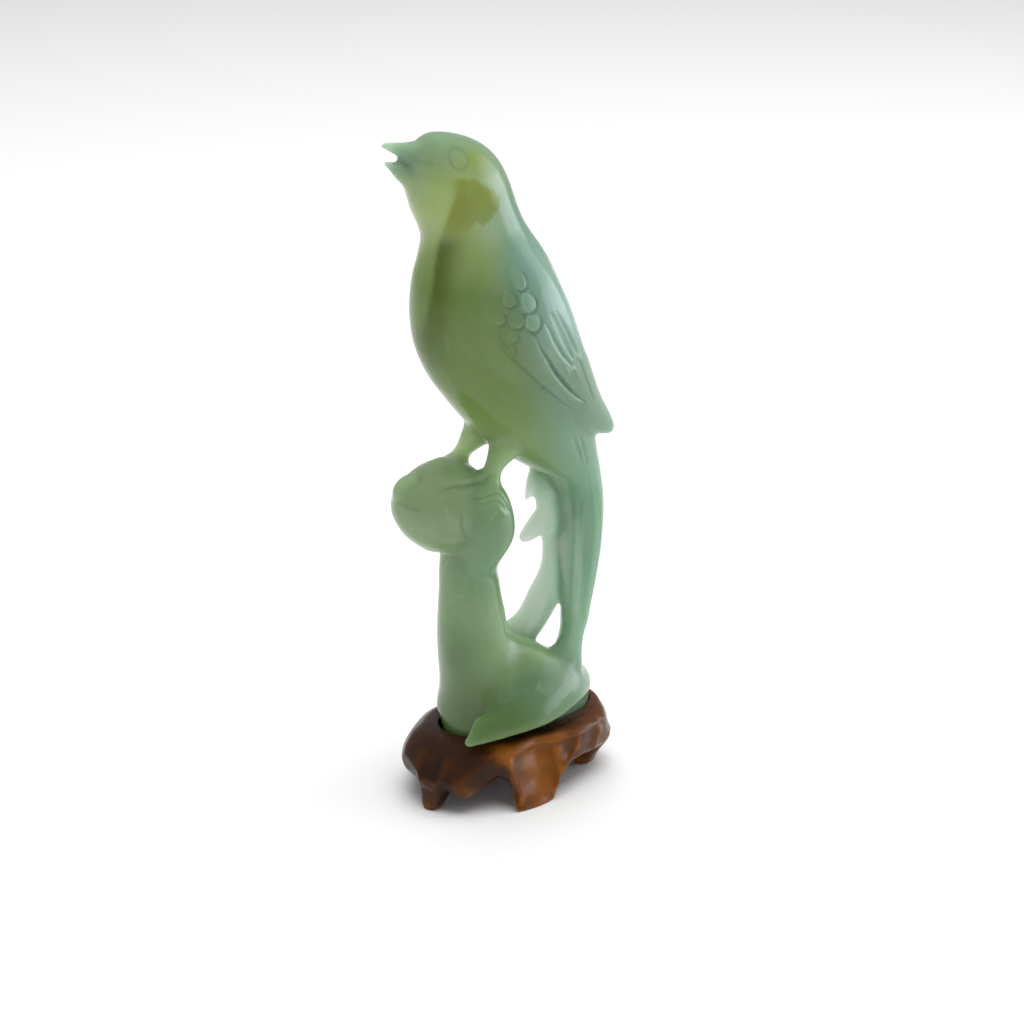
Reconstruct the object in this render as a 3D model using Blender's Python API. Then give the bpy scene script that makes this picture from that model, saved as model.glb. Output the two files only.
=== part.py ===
"""A bird on a tree stump, carved in one piece of pale green jade, in a fitted hardwood stand.

The bird looks along -X, its left side is -Y, and +Z is up. The origin is on the table, under
the middle of the stand. Every length is in metres.
"""

import math

import bmesh
import bpy
import numpy as np

# Driving dimensions
CARVING_HEIGHT = 0.1845  # jade, from its underside to the crown
RIM_HEIGHT = 0.020  # table to the top of the stand round the well
WELL_DEPTH = 0.004  # how far the jade's foot is let into the stand
FOOT_LENGTH = 0.0512  # the oval foot of the jade that stands in the well
FOOT_WIDTH = 0.0276
FOOT_TURN = math.radians(14)
FOOT_CLEARANCE = 0.0004  # between the jade's foot and the walls of the well
SEAT_GAP = 0.0003  # between the jade's underside and the floor of the well
LEAF_LIFT = 0.0006  # between the stand and the stone that hangs over it
STAND_REACH = 0.0093  # how far the stand reaches past the foot, before the carving of its edge
STAND_FLOOR = 0.006  # wood under the well
SKIRT_THICKNESS = 0.0045

# The carving's own proportions are written in shares of its height: one unit is a 184.5th.
UNIT = CARVING_HEIGHT / 184.5
CARVING_BASE = RIM_HEIGHT - WELL_DEPTH + SEAT_GAP  # height of the jade's underside

# Fineness of the carved surface, and the share of its triangles that the carving keeps
GRAIN = 0.9 * UNIT
SOFTENING_PASSES = 4
CARVING_DETAIL = 0.075

RING_POINTS = 40
STEPS_BETWEEN = 6

# The bird in profile, from the root of the bill to the end of the tail. Each row is the throat
# and breast side (x, z), the crown and back side (x, z), and half the breadth.
BIRD_PROFILE = (
    (-28.2, 172.8, -27.0, 181.2, 3.4),
    (-27.0, 169.8, -23.6, 181.8, 6.4),
    (-25.4, 166.4, -18.6, 183.9, 9.6),
    (-24.4, 162.0, -8.6, 181.6, 12.2),
    (-23.0, 157.6, -1.2, 176.2, 12.6),
    (-22.6, 153.0, 3.8, 166.8, 12.8),
    (-23.4, 147.6, 7.4, 157.4, 14.6),
    (-25.4, 140.0, 14.2, 147.6, 17.2),
    (-26.0, 131.0, 19.6, 136.0, 18.8),
    (-24.8, 122.0, 23.8, 123.8, 19.2),
    (-21.0, 113.0, 26.8, 111.5, 18.4),
    (-15.4, 105.0, 28.6, 100.5, 16.6),
    (-9.4, 97.6, 30.2, 92.5, 14.2),
    (-1.5, 89.6, 31.8, 84.5, 11.6),
    (7.7, 83.2, 33.1, 78.0, 9.4),
    (16.5, 78.0, 33.9, 71.8, 8.0),
    (21.4, 69.0, 34.1, 65.5, 7.2),
    (23.0, 58.5, 33.6, 56.0, 6.5),
    (22.6, 50.5, 32.4, 47.0, 6.0),
    (21.8, 38.0, 30.2, 35.8, 5.6),
    (20.2, 27.2, 28.2, 24.5, 5.6),
    (17.0, 18.0, 27.0, 14.0, 6.4),
    (15.0, 9.0, 26.6, 7.0, 7.0),
)

# Limbs follow a centre line. Each row is x, y, z, half the width across the line, half the
# thickness, and the direction in degrees that the thickness faces, from 0 at -Y to 90 at +X.
UPPER_BILL = (
    (-34.8, 0, 181.4, 0.6, 0.6, 0),
    (-33.4, 0, 181.1, 1.0, 1.0, 0),
    (-31.6, 0, 180.5, 1.6, 1.6, 0),
    (-29.8, 0, 179.7, 2.4, 2.4, 0),
    (-27.0, 0, 178.4, 3.6, 3.8, 0),
    (-22.0, 0, 177.0, 5.6, 5.8, 0),
)
LOWER_BILL = (
    (-34.3, 0, 176.9, 0.6, 0.6, 0),
    (-32.8, 0, 176.3, 0.9, 1.2, 0),
    (-31.0, 0, 175.0, 1.7, 2.2, 0),
    (-29.2, 0, 173.8, 2.8, 3.2, 0),
    (-26.6, 0, 172.8, 4.2, 4.8, 0),
    (-22.0, 0, 171.0, 7.0, 6.8, 0),
)
LEFT_WING = (
    (0.0, -12.4, 150.0, 5.0, 3.0, 10),
    (2.2, -14.2, 142.0, 9.4, 4.4, 15),
    (6.4, -14.8, 131.0, 12.0, 5.0, 20),
    (12.2, -13.6, 119.5, 11.4, 4.8, 26),
    (19.0, -11.2, 109.0, 9.0, 4.2, 34),
    (25.6, -8.4, 100.3, 6.4, 3.4, 42),
    (31.6, -5.6, 94.4, 3.9, 2.6, 50),
    (34.9, -3.6, 91.2, 1.9, 1.8, 56),
)
LEFT_LEG = (
    (3.6, -5.0, 97.0, 8.0, 6.0, 0),
    (-1.2, -6.0, 90.5, 4.6, 4.0, 0),
    (-4.0, -6.6, 86.6, 2.8, 3.0, 0),
    (-5.4, -7.0, 84.0, 2.9, 3.2, 0),
    (-6.8, -7.0, 81.0, 4.6, 4.6, 0),
    (-8.0, -7.0, 77.0, 6.0, 6.0, 0),
)
RIGHT_LEG = (
    (-1.0, 4.0, 97.0, 7.5, 6.0, 0),
    (-5.4, 4.6, 91.8, 4.2, 4.0, 0),
    (-8.3, 5.0, 88.2, 2.5, 2.8, 0),
    (-9.8, 5.0, 86.0, 3.0, 3.2, 0),
    (-12.0, 5.0, 83.0, 5.4, 5.0, 0),
    (-14.0, 4.6, 79.0, 7.0, 6.0, 0),
)
BURL = (
    (-31.6, 0.0, 80.6, 1.4, 2.0, 0),
    (-30.2, 0.0, 79.6, 5.0, 5.4, 0),
    (-27.4, 0.0, 77.8, 9.2, 9.0, 0),
    (-23.4, 0.0, 76.0, 12.4, 11.3, 0),
    (-18.0, 0.0, 74.2, 14.2, 12.4, 0),
    (-12.0, -0.5, 72.0, 12.8, 12.2, 0),
    (-6.0, -1.0, 69.4, 9.8, 10.6, 0),
    (-1.6, -1.0, 68.0, 6.0, 7.6, 0),
)
KNOB = (
    (-8.6, -6.6, 82.6, 2.2, 3.0, 0),
    (-8.0, -7.0, 79.8, 5.6, 5.4, 0),
    (-7.6, -7.4, 75.0, 7.6, 7.2, 0),
    (-7.2, -7.4, 69.0, 8.4, 8.2, 0),
    (-7.4, -6.8, 64.4, 8.0, 8.0, 0),
    (-8.0, -5.6, 60.0, 6.8, 7.0, 0),
    (-8.8, -3.6, 55.0, 6.0, 6.2, 0),
    (-9.0, -2.0, 50.0, 6.0, 6.0, 0),
)
TRUNK = (
    (-10.0, 0.0, 72.0, 8.0, 8.6, 0),
    (-9.6, 0.0, 60.0, 8.2, 8.4, 0),
    (-9.4, 0.0, 52.0, 8.8, 8.6, 0),
    (-9.0, 0.2, 45.0, 9.3, 9.0, 0),
    (-8.2, 0.6, 36.0, 10.4, 10.0, 0),
    (-7.0, 1.0, 27.0, 11.8, 11.4, 0),
    (-4.8, 1.4, 18.0, 13.4, 12.6, 0),
    (-3.4, 1.6, 9.0, 14.0, 13.4, 0),
    (-3.0, 1.6, 5.5, 13.6, 13.0, 0),
)
MOUND = (
    (-17.4, 3.0, 9.4, 2.4, 5.0, 0),
    (-15.6, 3.0, 9.6, 4.4, 9.4, 0),
    (-10.0, 3.0, 11.0, 6.0, 13.4, 0),
    (0.0, 3.4, 13.0, 8.2, 14.4, 0),
    (10.0, 3.8, 13.8, 9.0, 13.6, 0),
    (19.0, 4.2, 12.6, 7.6, 11.6, 0),
    (26.6, 5.0, 11.0, 6.2, 8.6, 0),
    (31.0, 5.6, 8.8, 3.8, 5.4, 0),
)
LEAF_LEAN = 24.0
LEAF = (
    (-19.4, -17.6, 5.4, 0.9, 0.9, -14),
    (-16.8, -17.6, 6.6, 2.2, 1.5, -10),
    (-12.4, -17.2, 8.6, 4.2, 2.2, -4),
    (-4.4, -16.0, 11.6, 7.2, 2.9, 4),
    (5.0, -13.0, 14.0, 9.4, 3.6, 12),
    (14.0, -9.0, 15.0, 9.4, 3.8, 24),
    (22.0, -4.4, 14.0, 8.0, 3.8, 40),
    (28.4, 1.0, 12.2, 6.0, 3.2, 58),
    (31.6, 7.0, 11.0, 4.2, 2.8, 84),
    (30.6, 13.0, 10.4, 1.8, 1.6, 112),
)
SIDE_BRANCH = (
    (16.0, 5.4, 90.0, 6.0, 5.0, 0),
    (18.6, 6.2, 80.0, 5.0, 3.8, 0),
    (19.8, 7.0, 72.0, 4.6, 3.2, 0),
    (22.0, 7.8, 62.0, 4.6, 3.1, 0),
    (22.9, 8.0, 52.0, 4.0, 3.1, 0),
    (22.2, 8.0, 44.0, 4.4, 3.2, 0),
    (19.4, 8.0, 36.8, 5.4, 3.4, 0),
    (15.6, 8.0, 31.0, 6.0, 3.6, 0),
    (10.0, 7.8, 26.6, 6.4, 4.2, 0),
    (4.0, 7.0, 23.0, 6.6, 5.0, 0),
)
UPPER_LEAFLET = (
    (13.2, 8.0, 67.4, 0.6, 0.7, 0),
    (14.2, 8.0, 70.4, 1.5, 1.4, 0),
    (15.8, 7.8, 74.6, 2.2, 2.2, 0),
    (18.6, 7.4, 80.0, 3.4, 3.0, 0),
)
LOWER_LEAFLET = (
    (11.2, 8.0, 55.3, 0.9, 0.8, 0),
    (12.8, 8.0, 56.4, 2.2, 1.6, 0),
    (16.2, 8.0, 59.0, 3.3, 2.3, 0),
    (21.4, 7.8, 63.4, 4.4, 2.8, 0),
)
INNER_PLUME = (
    (24.6, -2.2, 70.0, 1.8, 3.0, 0),
    (23.8, -2.6, 62.0, 2.0, 3.4, 0),
    (23.3, -2.8, 52.0, 2.0, 3.6, 0),
    (23.2, -2.6, 40.0, 2.1, 3.8, 0),
    (21.4, -2.0, 28.0, 2.8, 4.2, 0),
    (17.6, -1.0, 20.0, 4.2, 5.2, 0),
)

# Plan: where the foot and its well have their middle, and how square their oval is
FOOT_CENTRE = (7.5 * UNIT, 3.0 * UNIT)
FOOT_SQUARENESS = 2.3
PLAN_MIDDLE = (1.715 * UNIT, 0.0)  # of the whole object, placed over the origin

# The stand's side, all round. Each row is the direction in degrees, the height of the lower edge
# as a share of the rim's, how far the edge and the widest part reach past the foot as shares of
# the stand's reach, how far up the side the widest part is, how full the side is above it, and
# the reach of the shoulder. Where the stand has a foot, its edge is at 0.
STAND_SIDE = (
    (0, 0.30, 0.30, 0.60, 0.15, 0.02, 0.42),
    (14, 0.34, 0.20, 0.45, 0.14, 0.04, 0.30),
    (16, 0.00, 0.20, 0.45, 0.14, 0.04, 0.28),
    (34, 0.00, 0.18, 0.42, 0.14, 0.04, 0.24),
    (36, 0.30, 0.22, 0.42, 0.14, 0.04, 0.24),
    (66, 0.42, 0.46, 0.54, 0.14, 0.03, 0.42),
    (82, 0.30, 0.60, 0.74, 0.14, 0.02, 0.58),
    (84, 0.00, 0.70, 0.80, 0.14, 0.02, 0.60),
    (106, 0.00, 0.84, 0.94, 0.14, 0.02, 0.72),
    (108, 0.30, 0.78, 0.92, 0.14, 0.02, 0.74),
    (127, 0.44, 0.84, 0.96, 0.14, 0.03, 0.82),
    (139, 0.32, 1.00, 1.22, 0.14, 0.02, 0.95),
    (141, 0.00, 1.00, 1.32, 0.14, 0.02, 0.98),
    (154, 0.00, 1.12, 1.38, 0.14, 0.02, 1.00),
    (156, 0.32, 1.12, 1.38, 0.14, 0.04, 0.98),
    (181, 0.34, 1.14, 1.30, 0.24, 0.09, 0.90),
    (197, 0.36, 1.20, 1.32, 0.26, 0.13, 0.88),
    (199, 0.00, 1.46, 1.38, 0.36, 0.13, 0.88),
    (207, 0.00, 1.44, 1.40, 0.36, 0.13, 0.88),
    (209, 0.34, 1.22, 1.40, 0.20, 0.11, 0.92),
    (219, 0.20, 1.22, 1.50, 0.15, 0.06, 0.98),
    (227, 0.36, 1.16, 1.26, 0.15, 0.06, 0.96),
    (235, 0.50, 1.04, 1.12, 0.15, 0.06, 0.98),
    (243, 0.40, 1.18, 1.24, 0.15, 0.02, 0.98),
    (245, 0.00, 1.52, 1.40, 0.22, -0.04, 0.98),
    (262, 0.00, 1.28, 1.34, 0.22, -0.10, 0.86),
    (275, 0.00, 1.06, 1.22, 0.22, -0.06, 0.80),
    (279, 0.30, 1.02, 1.12, 0.14, -0.04, 0.82),
    (293, 0.46, 0.95, 0.96, 0.14, -0.04, 0.84),
    (310, 0.46, 0.87, 0.92, 0.14, 0.00, 0.84),
    (338, 0.34, 0.58, 0.84, 0.20, 0.06, 0.78),
    (343, 0.00, 0.16, 0.78, 0.48, 0.08, 0.70),
    (353, 0.00, 0.34, 0.66, 0.48, 0.08, 0.56),
    (357, 0.30, 0.34, 0.62, 0.20, 0.04, 0.48),
)
SHOULDER_SHARE = 0.87  # height of the shoulder as a share of the rim's
COLUMN_TURN = 5.0  # degrees between the stand's columns, at most

# Relief: each cut is as deep and as broad as named here
QUILL_DEPTH = 0.95
QUILL_BREADTH = 0.85
QUILL_STEP = 0.6
SCALE_RADIUS = 3.0
SCALE_SWELL = 1.0
SCALE_STRETCH = -1.6
SCALE_FIRST = (-0.2, 142.6)
SCALE_STEP = (2.35, -5.7)
SCALE_ROW_STEP = (-2.5, -5.2)
SCALE_ROWS = (3, 3, 2)
QUILL_COUNT = 5
QUILL_ROOTS = ((-7.8, 126.7), (16.5, 130.5))
QUILL_TIPS = ((21.0, 99.0), (21.5, 117.0))
QUILL_BOW = (-1.8, -0.4)
EYE_CENTRE = (-16.9, 178.4)
EYE_RADIUS = 2.5
EYE_SWELL = 0.5
FINE_BREADTH = 0.6
GAPE = ((-29.2, 177.0), (-26.4, 177.9), (-22.6, 177.6))
TAIL_SHARES = (0.3, 0.62)
TAIL_ROWS = (12, 20)
BURL_CUTS = (
    ((-32.4, 78.6), (-27.0, 82.6), (-20.0, 84.4), (-13.0, 83.4)),
    ((-30.6, 73.6), (-25.0, 77.4), (-19.6, 78.8)),
    ((-17.6, 77.4), (-11.7, 80.2), (-7.3, 80.3), (-4.0, 78.2), (-1.4, 74.0)),
    ((-10.8, 74.6), (-7.4, 76.6), (-4.6, 73.8)),
    ((-17.4, 75.4), (-17.4, 70.6), (-16.2, 66.0)),
)
LEAF_CUTS = (
    ((-19.0, 5.4), (-15.6, 8.6), (-12.4, 12.4), (-8.4, 16.4), (0.0, 21.2), (8.0, 25.0)),
    ((-12.0, 8.4), (-3.0, 11.4), (8.0, 13.8), (18.0, 14.6)),
)


def smooth_rows(rows, steps=STEPS_BETWEEN):
    """Rows of numbers filled in along Catmull-Rom curves, with this many steps between two."""
    rows = np.asarray(rows, float)
    padded = np.vstack((2 * rows[0] - rows[1], rows, 2 * rows[-1] - rows[-2]))
    t = np.linspace(0.0, 1.0, steps, endpoint=False)[:, None]
    spans = [
        0.5
        * (
            2 * p1
            + (p2 - p0) * t
            + (2 * p0 - 5 * p1 + 4 * p2 - p3) * t**2
            + (3 * p1 - p0 - 3 * p2 + p3) * t**3
        )
        for p0, p1, p2, p3 in zip(padded, padded[1:], padded[2:], padded[3:])
    ]
    return np.vstack((*spans, rows[-1:]))


def unit_rows(vectors):
    """Each row divided by its length."""
    return vectors / np.linalg.norm(vectors, axis=1, keepdims=True)


def rings_round(centres, across, through):
    """One ring of points about each centre, on the ellipse with these two half axes."""
    angle = np.linspace(0.0, 2 * math.pi, RING_POINTS, endpoint=False)
    return (
        centres[:, None, :]
        + across[:, None, :] * np.cos(angle)[None, :, None]
        + through[:, None, :] * np.sin(angle)[None, :, None]
    )


def bird_rings():
    """The bird's rings, each between a point of the breast line and one of the back line."""
    rows = smooth_rows(BIRD_PROFILE)
    zero = np.zeros(len(rows))
    front = np.column_stack((rows[:, 0], zero, rows[:, 1]))
    back = np.column_stack((rows[:, 2], zero, rows[:, 3]))
    breadth = np.column_stack((zero, rows[:, 4], zero))
    return rings_round((front + back) / 2, (back - front) / 2, breadth)


def limb_rings(stations, lean=0.0):
    """Rings square to a limb's centre line, with the face turned up by a lean in degrees."""
    rows = smooth_rows(stations)
    centres = rows[:, :3]
    along = unit_rows(np.gradient(centres, axis=0))
    facing = np.radians(rows[:, 5])
    level, rise = math.cos(math.radians(lean)), math.sin(math.radians(lean))
    outward = np.column_stack((
        level * np.sin(facing), -level * np.cos(facing), np.full(len(rows), rise),
    ))
    outward -= along * np.sum(along * outward, axis=1, keepdims=True)
    outward = unit_rows(outward)
    side = np.cross(along, outward)
    return rings_round(centres, side * rows[:, 3:4], outward * rows[:, 4:5])


def mirrored(stations):
    """The same limb on the bird's other side."""
    return tuple((x, -y, z, wide, thick, 180 - face) for x, y, z, wide, thick, face in stations)


def foot_radius(angle, margin=0.0):
    """Distance from the foot's middle to its rounded oval, widened by a margin."""
    turned = angle - FOOT_TURN
    along = np.abs(np.cos(turned)) / (FOOT_LENGTH / 2 + margin)
    across = np.abs(np.sin(turned)) / (FOOT_WIDTH / 2 + margin)
    n = FOOT_SQUARENESS
    return (along**n + across**n) ** (-1 / n)


def plan_ring(angle, radius, height):
    """A ring about the foot's middle."""
    x = FOOT_CENTRE[0] + radius * np.cos(angle)
    y = FOOT_CENTRE[1] + radius * np.sin(angle)
    return np.column_stack((x, y, height + np.zeros(len(angle))))


def foot_share(x, y):
    """How far out a point is in plan: 1 on the foot's outline, less inside it."""
    dx, dy = x - FOOT_CENTRE[0], y - FOOT_CENTRE[1]
    return np.hypot(dx, dy) / foot_radius(np.arctan2(dy, dx))


def foot_rings():
    """The plug that stands in the well, up into the stone above it."""
    angle = np.linspace(0.0, 2 * math.pi, RING_POINTS * 2, endpoint=False)
    heights = np.linspace(0.0, WELL_DEPTH + 2 * LEAF_LIFT, 5)
    return np.stack([plan_ring(angle, foot_radius(angle), height) for height in heights])


def skin_of(rings):
    """Points and faces of a closed skin over rings, with a point at each end."""
    count, around, _ = rings.shape
    points = np.vstack((rings.reshape(-1, 3), rings[0].mean(axis=0), rings[-1].mean(axis=0)))
    first_pole, last_pole = count * around, count * around + 1
    last = (count - 1) * around
    faces = []
    for j in range(around):
        k = (j + 1) % around
        faces.append((first_pole, k, j))
        faces += [
            (a + j, a + k, a + around + k, a + around + j) for a in range(0, last, around)
        ]
        faces.append((last_pole, last + j, last + k))
    return points, faces


def mesh_from(name, skins):
    """One mesh of several closed skins, with its faces outwards."""
    shape = bmesh.new()
    for points, faces in skins:
        verts = [shape.verts.new(point) for point in points]
        for face in faces:
            shape.faces.new([verts[i] for i in face])
    bmesh.ops.recalc_face_normals(shape, faces=shape.faces)
    mesh = bpy.data.meshes.new(name)
    shape.to_mesh(mesh)
    shape.free()
    return mesh


def evaluated(mesh, *modifiers):
    """A new mesh with these modifiers worked out on it, each a type and its settings."""
    holder = bpy.data.objects.new("holder", mesh)
    bpy.context.scene.collection.objects.link(holder)
    for kind, settings in modifiers:
        modifier = holder.modifiers.new(kind, kind)
        for key, value in settings.items():
            setattr(modifier, key, value)
    bpy.context.view_layer.update()
    graph = bpy.context.evaluated_depsgraph_get()
    result = bpy.data.meshes.new_from_object(holder.evaluated_get(graph))
    bpy.data.objects.remove(holder)
    return result


def vectors_of(collection, attribute):
    """One vector of every item of a mesh collection, as rows."""
    flat = np.empty(len(collection) * 3, np.float32)
    collection.foreach_get(attribute, flat)
    return flat.reshape(-1, 3).astype(float)


def one_body():
    """Bird, stump, leaves and foot grown together and softened where they meet."""
    limbs = [limb_rings(limb) * UNIT for limb in (
        UPPER_BILL, LOWER_BILL, LEFT_WING, mirrored(LEFT_WING), LEFT_LEG, RIGHT_LEG,
        BURL, KNOB, TRUNK, MOUND, SIDE_BRANCH, UPPER_LEAFLET, LOWER_LEAFLET, INNER_PLUME,
    )]
    limbs.append(limb_rings(LEAF, LEAF_LEAN) * UNIT)
    skins = [skin_of(rings) for rings in (bird_rings() * UNIT, foot_rings(), *limbs)]
    return evaluated(
        mesh_from("limbs", skins),
        ("REMESH", {"mode": "VOXEL", "voxel_size": GRAIN}),
        ("SMOOTH", {"iterations": SOFTENING_PASSES}),
    )


def gap_and_side(points, line):
    """How far each point (x, z) is from a line of points, and which side of it it is on."""
    line = np.asarray(line, float)
    gap = np.full(len(points), np.inf)
    side = np.zeros(len(points))
    for start, end in zip(line, line[1:]):
        span = end - start
        share = np.clip((points - start) @ span / (span @ span), 0.0, 1.0)
        off = points - start - share[:, None] * span
        distance = np.hypot(off[:, 0], off[:, 1])
        nearer = distance < gap
        gap[nearer] = distance[nearer]
        side[nearer] = np.sign(span[0] * off[nearer, 1] - span[1] * off[nearer, 0])
    return gap, side


def cut(points, line, depth, breadth):
    """A rounded groove along a line."""
    gap, _ = gap_and_side(points, line)
    return -depth * np.exp(-((gap / breadth) ** 2))


def quill_lines():
    """The edges of the long flight feathers, fanned from the wing's middle to its tip."""
    lines = []
    for share in np.linspace(0.0, 1.0, QUILL_COUNT):
        root = (1 - share) * np.array(QUILL_ROOTS[0]) + share * np.array(QUILL_ROOTS[1])
        tip = (1 - share) * np.array(QUILL_TIPS[0]) + share * np.array(QUILL_TIPS[1])
        bow = (1 - share) * QUILL_BOW[0] + share * QUILL_BOW[1]
        t = np.linspace(0.0, 1.0, 7)[:, None]
        along = unit_rows((tip - root)[None, :])[0]
        across = np.array((-along[1], along[0]))
        lines.append(root + t * (tip - root) + across * bow * np.sin(math.pi * t))
    return lines


def wing_relief(points):
    """Flight feathers that step over one another, and small round feathers at the shoulder."""
    height = np.zeros(len(points))
    for line in quill_lines():
        gap, side = gap_and_side(points, line)
        height -= QUILL_DEPTH * np.exp(-((gap / QUILL_BREADTH) ** 2))
        crest = np.exp(-(((gap - 1.8 * QUILL_BREADTH) / (1.5 * QUILL_BREADTH)) ** 2))
        height += QUILL_STEP * crest * (side > 0)
    plates = np.zeros(len(points))
    fall = np.array(SCALE_STEP) / math.hypot(*SCALE_STEP)
    for row, count in enumerate(SCALE_ROWS):
        for k in range(count):
            x = SCALE_FIRST[0] + row * SCALE_ROW_STEP[0] + k * SCALE_STEP[0]
            z = SCALE_FIRST[1] + row * SCALE_ROW_STEP[1] + k * SCALE_STEP[1]
            off = (points - (x, z)) / SCALE_RADIUS
            down = off @ fall
            across = off @ np.array((fall[1], -fall[0]))
            inside = 1 - np.hypot(np.maximum(down, down / SCALE_STRETCH), across)
            slope = np.clip((down + 1.6) / 2.6, 0.0, 1.0)
            plates = np.maximum(plates, slope * np.clip(inside / 0.3, 0.0, 1.0))
    return height + SCALE_SWELL * plates


def head_relief(points):
    """The raised eye in its ring, and the line of the gape behind the open bill."""
    gap = np.hypot(points[:, 0] - EYE_CENTRE[0], points[:, 1] - EYE_CENTRE[1]) / EYE_RADIUS
    ring = np.exp(-(((gap - 1) / 0.22) ** 2))
    return EYE_SWELL * (np.exp(-((gap / 0.7) ** 4)) - ring) + cut(points, GAPE, 0.4, 0.7)


def tail_relief(points):
    """Long cuts between the tail's feathers, at shares of its depth from front to back."""
    rows = np.array(BIRD_PROFILE[TAIL_ROWS[0]:TAIL_ROWS[1]])
    front, back = rows[:, 0:2], rows[:, 2:4]
    lines = [smooth_rows(front + share * (back - front), 3) for share in TAIL_SHARES]
    return sum(cut(points, line, 0.55, 0.8) for line in lines)


def relief(points, normals):
    """How far every point of the stone moves out along its normal, in units."""
    flat = points[:, [0, 2]]
    faces_side = np.clip((np.abs(normals[:, 1]) - 0.25) / 0.25, 0.0, 1.0)
    near = (points[:, 1] < 0).astype(float)
    both = wing_relief(flat) + head_relief(flat) + tail_relief(flat)
    both += sum(cut(flat, line, 0.9, 1.0) for line in BURL_CUTS[:2])
    left = sum(cut(flat, line, 0.9, 0.9) for line in BURL_CUTS[2:])
    left = left + sum(cut(flat, line, 0.6, 1.0) for line in LEAF_CUTS)
    return faces_side * (both + near * left)


def keep_to_foot(points):
    """What is below the top of the stand stays within the foot, and the rest hangs clear of it."""
    lift = RIM_HEIGHT + LEAF_LIFT - CARVING_BASE
    share = foot_share(points[:, 0], points[:, 1])
    loose = (share > 1.0) & (points[:, 2] < lift)
    inwards = (share - 1.0) * FOOT_WIDTH / 2
    pull = loose & (inwards < lift - points[:, 2])
    centre = np.array(FOOT_CENTRE)
    points[pull, :2] = centre + (points[pull, :2] - centre) / share[pull, None]
    points[loose & ~pull, 2] = lift
    points[points[:, 2] < 0.3 * GRAIN, 2] = 0.0
    return points


def carving_mesh():
    """The whole stone, with its relief cut into it."""
    body = one_body()
    points = vectors_of(body.vertices, "co") / UNIT
    normals = vectors_of(body.vertex_normals, "vector")
    points += normals * relief(points, normals)[:, None]
    body.vertices.foreach_set("co", keep_to_foot(points * UNIT).astype(np.float32).ravel())
    body.update()
    stone = evaluated(body, ("DECIMATE", {"ratio": CARVING_DETAIL}))
    points = keep_to_foot(vectors_of(stone.vertices, "co"))
    stone.vertices.foreach_set("co", points.astype(np.float32).ravel())
    stone.update()
    return stone


def stand_columns(turns):
    """The edge's directions, with others between them where they are far apart."""
    columns = []
    for start, end in zip(turns, (*turns[1:], turns[0] + 360)):
        count = math.ceil((end - start) / COLUMN_TURN)
        columns.extend(np.linspace(start, end, count, endpoint=False))
    return np.array(columns)


def stand_mesh():
    """The stand's skin, from the hollow below it over the carved side and down into the well."""
    table = np.array(STAND_SIDE)
    angle = np.radians(stand_columns(table[:, 0]))
    edge, toe, belly, rise, fullness, shoulder = (
        np.interp(np.degrees(angle), table[:, 0], table[:, k], period=360) for k in range(1, 7)
    )
    low = edge * RIM_HEIGHT
    side = SHOULDER_SHARE * RIM_HEIGHT - low
    top = RIM_HEIGHT - SHOULDER_SHARE * RIM_HEIGHT
    well = RIM_HEIGHT - WELL_DEPTH
    ceiling = well - STAND_FLOOR
    mouth = foot_radius(angle, FOOT_CLEARANCE)

    def reach(share):
        """Distance from the middle for a share of the reach past the foot."""
        return foot_radius(angle) + share * STAND_REACH

    inner = reach(toe) - SKIRT_THICKNESS
    brim = mouth + 0.13 * STAND_REACH
    rings = (
        plan_ring(angle, inner * 0.5, ceiling),
        plan_ring(angle, inner * 0.88, ceiling),
        plan_ring(angle, inner * 0.97, low + (ceiling - low) * 0.6),
        plan_ring(angle, inner, low),
        plan_ring(angle, reach(toe), low),
        plan_ring(angle, reach(0.4 * toe + 0.6 * belly), low + side * rise / 2),
        plan_ring(angle, reach(belly), low + side * rise),
        plan_ring(angle, reach(0.6 * belly + 0.4 * shoulder + fullness), low + side * 0.62),
        plan_ring(angle, reach(0.2 * belly + 0.8 * shoulder + fullness), low + side * 0.85),
        plan_ring(angle, reach(shoulder), low + side),
        plan_ring(angle, 0.4 * brim + 0.6 * reach(shoulder), low + side + top * 0.7),
        plan_ring(angle, brim, RIM_HEIGHT),
        plan_ring(angle, mouth, RIM_HEIGHT - 0.06 * STAND_REACH),
        plan_ring(angle, mouth, well),
        plan_ring(angle, 0.5 * mouth, well),
    )
    return mesh_from("stand", [skin_of(np.stack(rings))])


def place(name, mesh, height, colour, roughness):
    """A named piece at its height above the table, smooth, in a plain material."""
    piece = bpy.data.objects.new(name, mesh)
    bpy.context.scene.collection.objects.link(piece)
    piece.location = (-PLAN_MIDDLE[0], -PLAN_MIDDLE[1], height)
    material = bpy.data.materials.new(name)
    material.use_nodes = True
    shader = material.node_tree.nodes["Principled BSDF"]
    shader.inputs["Base Color"].default_value = (*colour, 1.0)
    shader.inputs["Roughness"].default_value = roughness
    shader.inputs["Metallic"].default_value = 0.0
    mesh.materials.clear()
    mesh.materials.append(material)
    mesh.shade_smooth()
    return piece


def main():
    """Clears the scene and builds the carving in its stand."""
    for obj in list(bpy.data.objects):
        bpy.data.objects.remove(obj, do_unlink=True)
    place("jade_carving", carving_mesh(), CARVING_BASE, (0.22, 0.36, 0.20), 0.15)
    place("wood_stand", stand_mesh(), 0.0, (0.13, 0.045, 0.015), 0.3)


main()
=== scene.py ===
"""A songbird on a tree stump, carved in pale green jade, let into its carved hardwood stand.

The stone is grown together from limbs that follow centre lines, then cut: feathers, eye, folds of
the stump's head, veins of the leaf. The stand is one grid of directions by profile steps. Places
on the carving are written in its own units, of about a millimetre: the bird faces -X, its left
side is towards -Y, and z starts at the stone's underside. JadeCarving.to_world() places them.
Places on the stand are in millimetres from the middle of the object's underside.
"""

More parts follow.
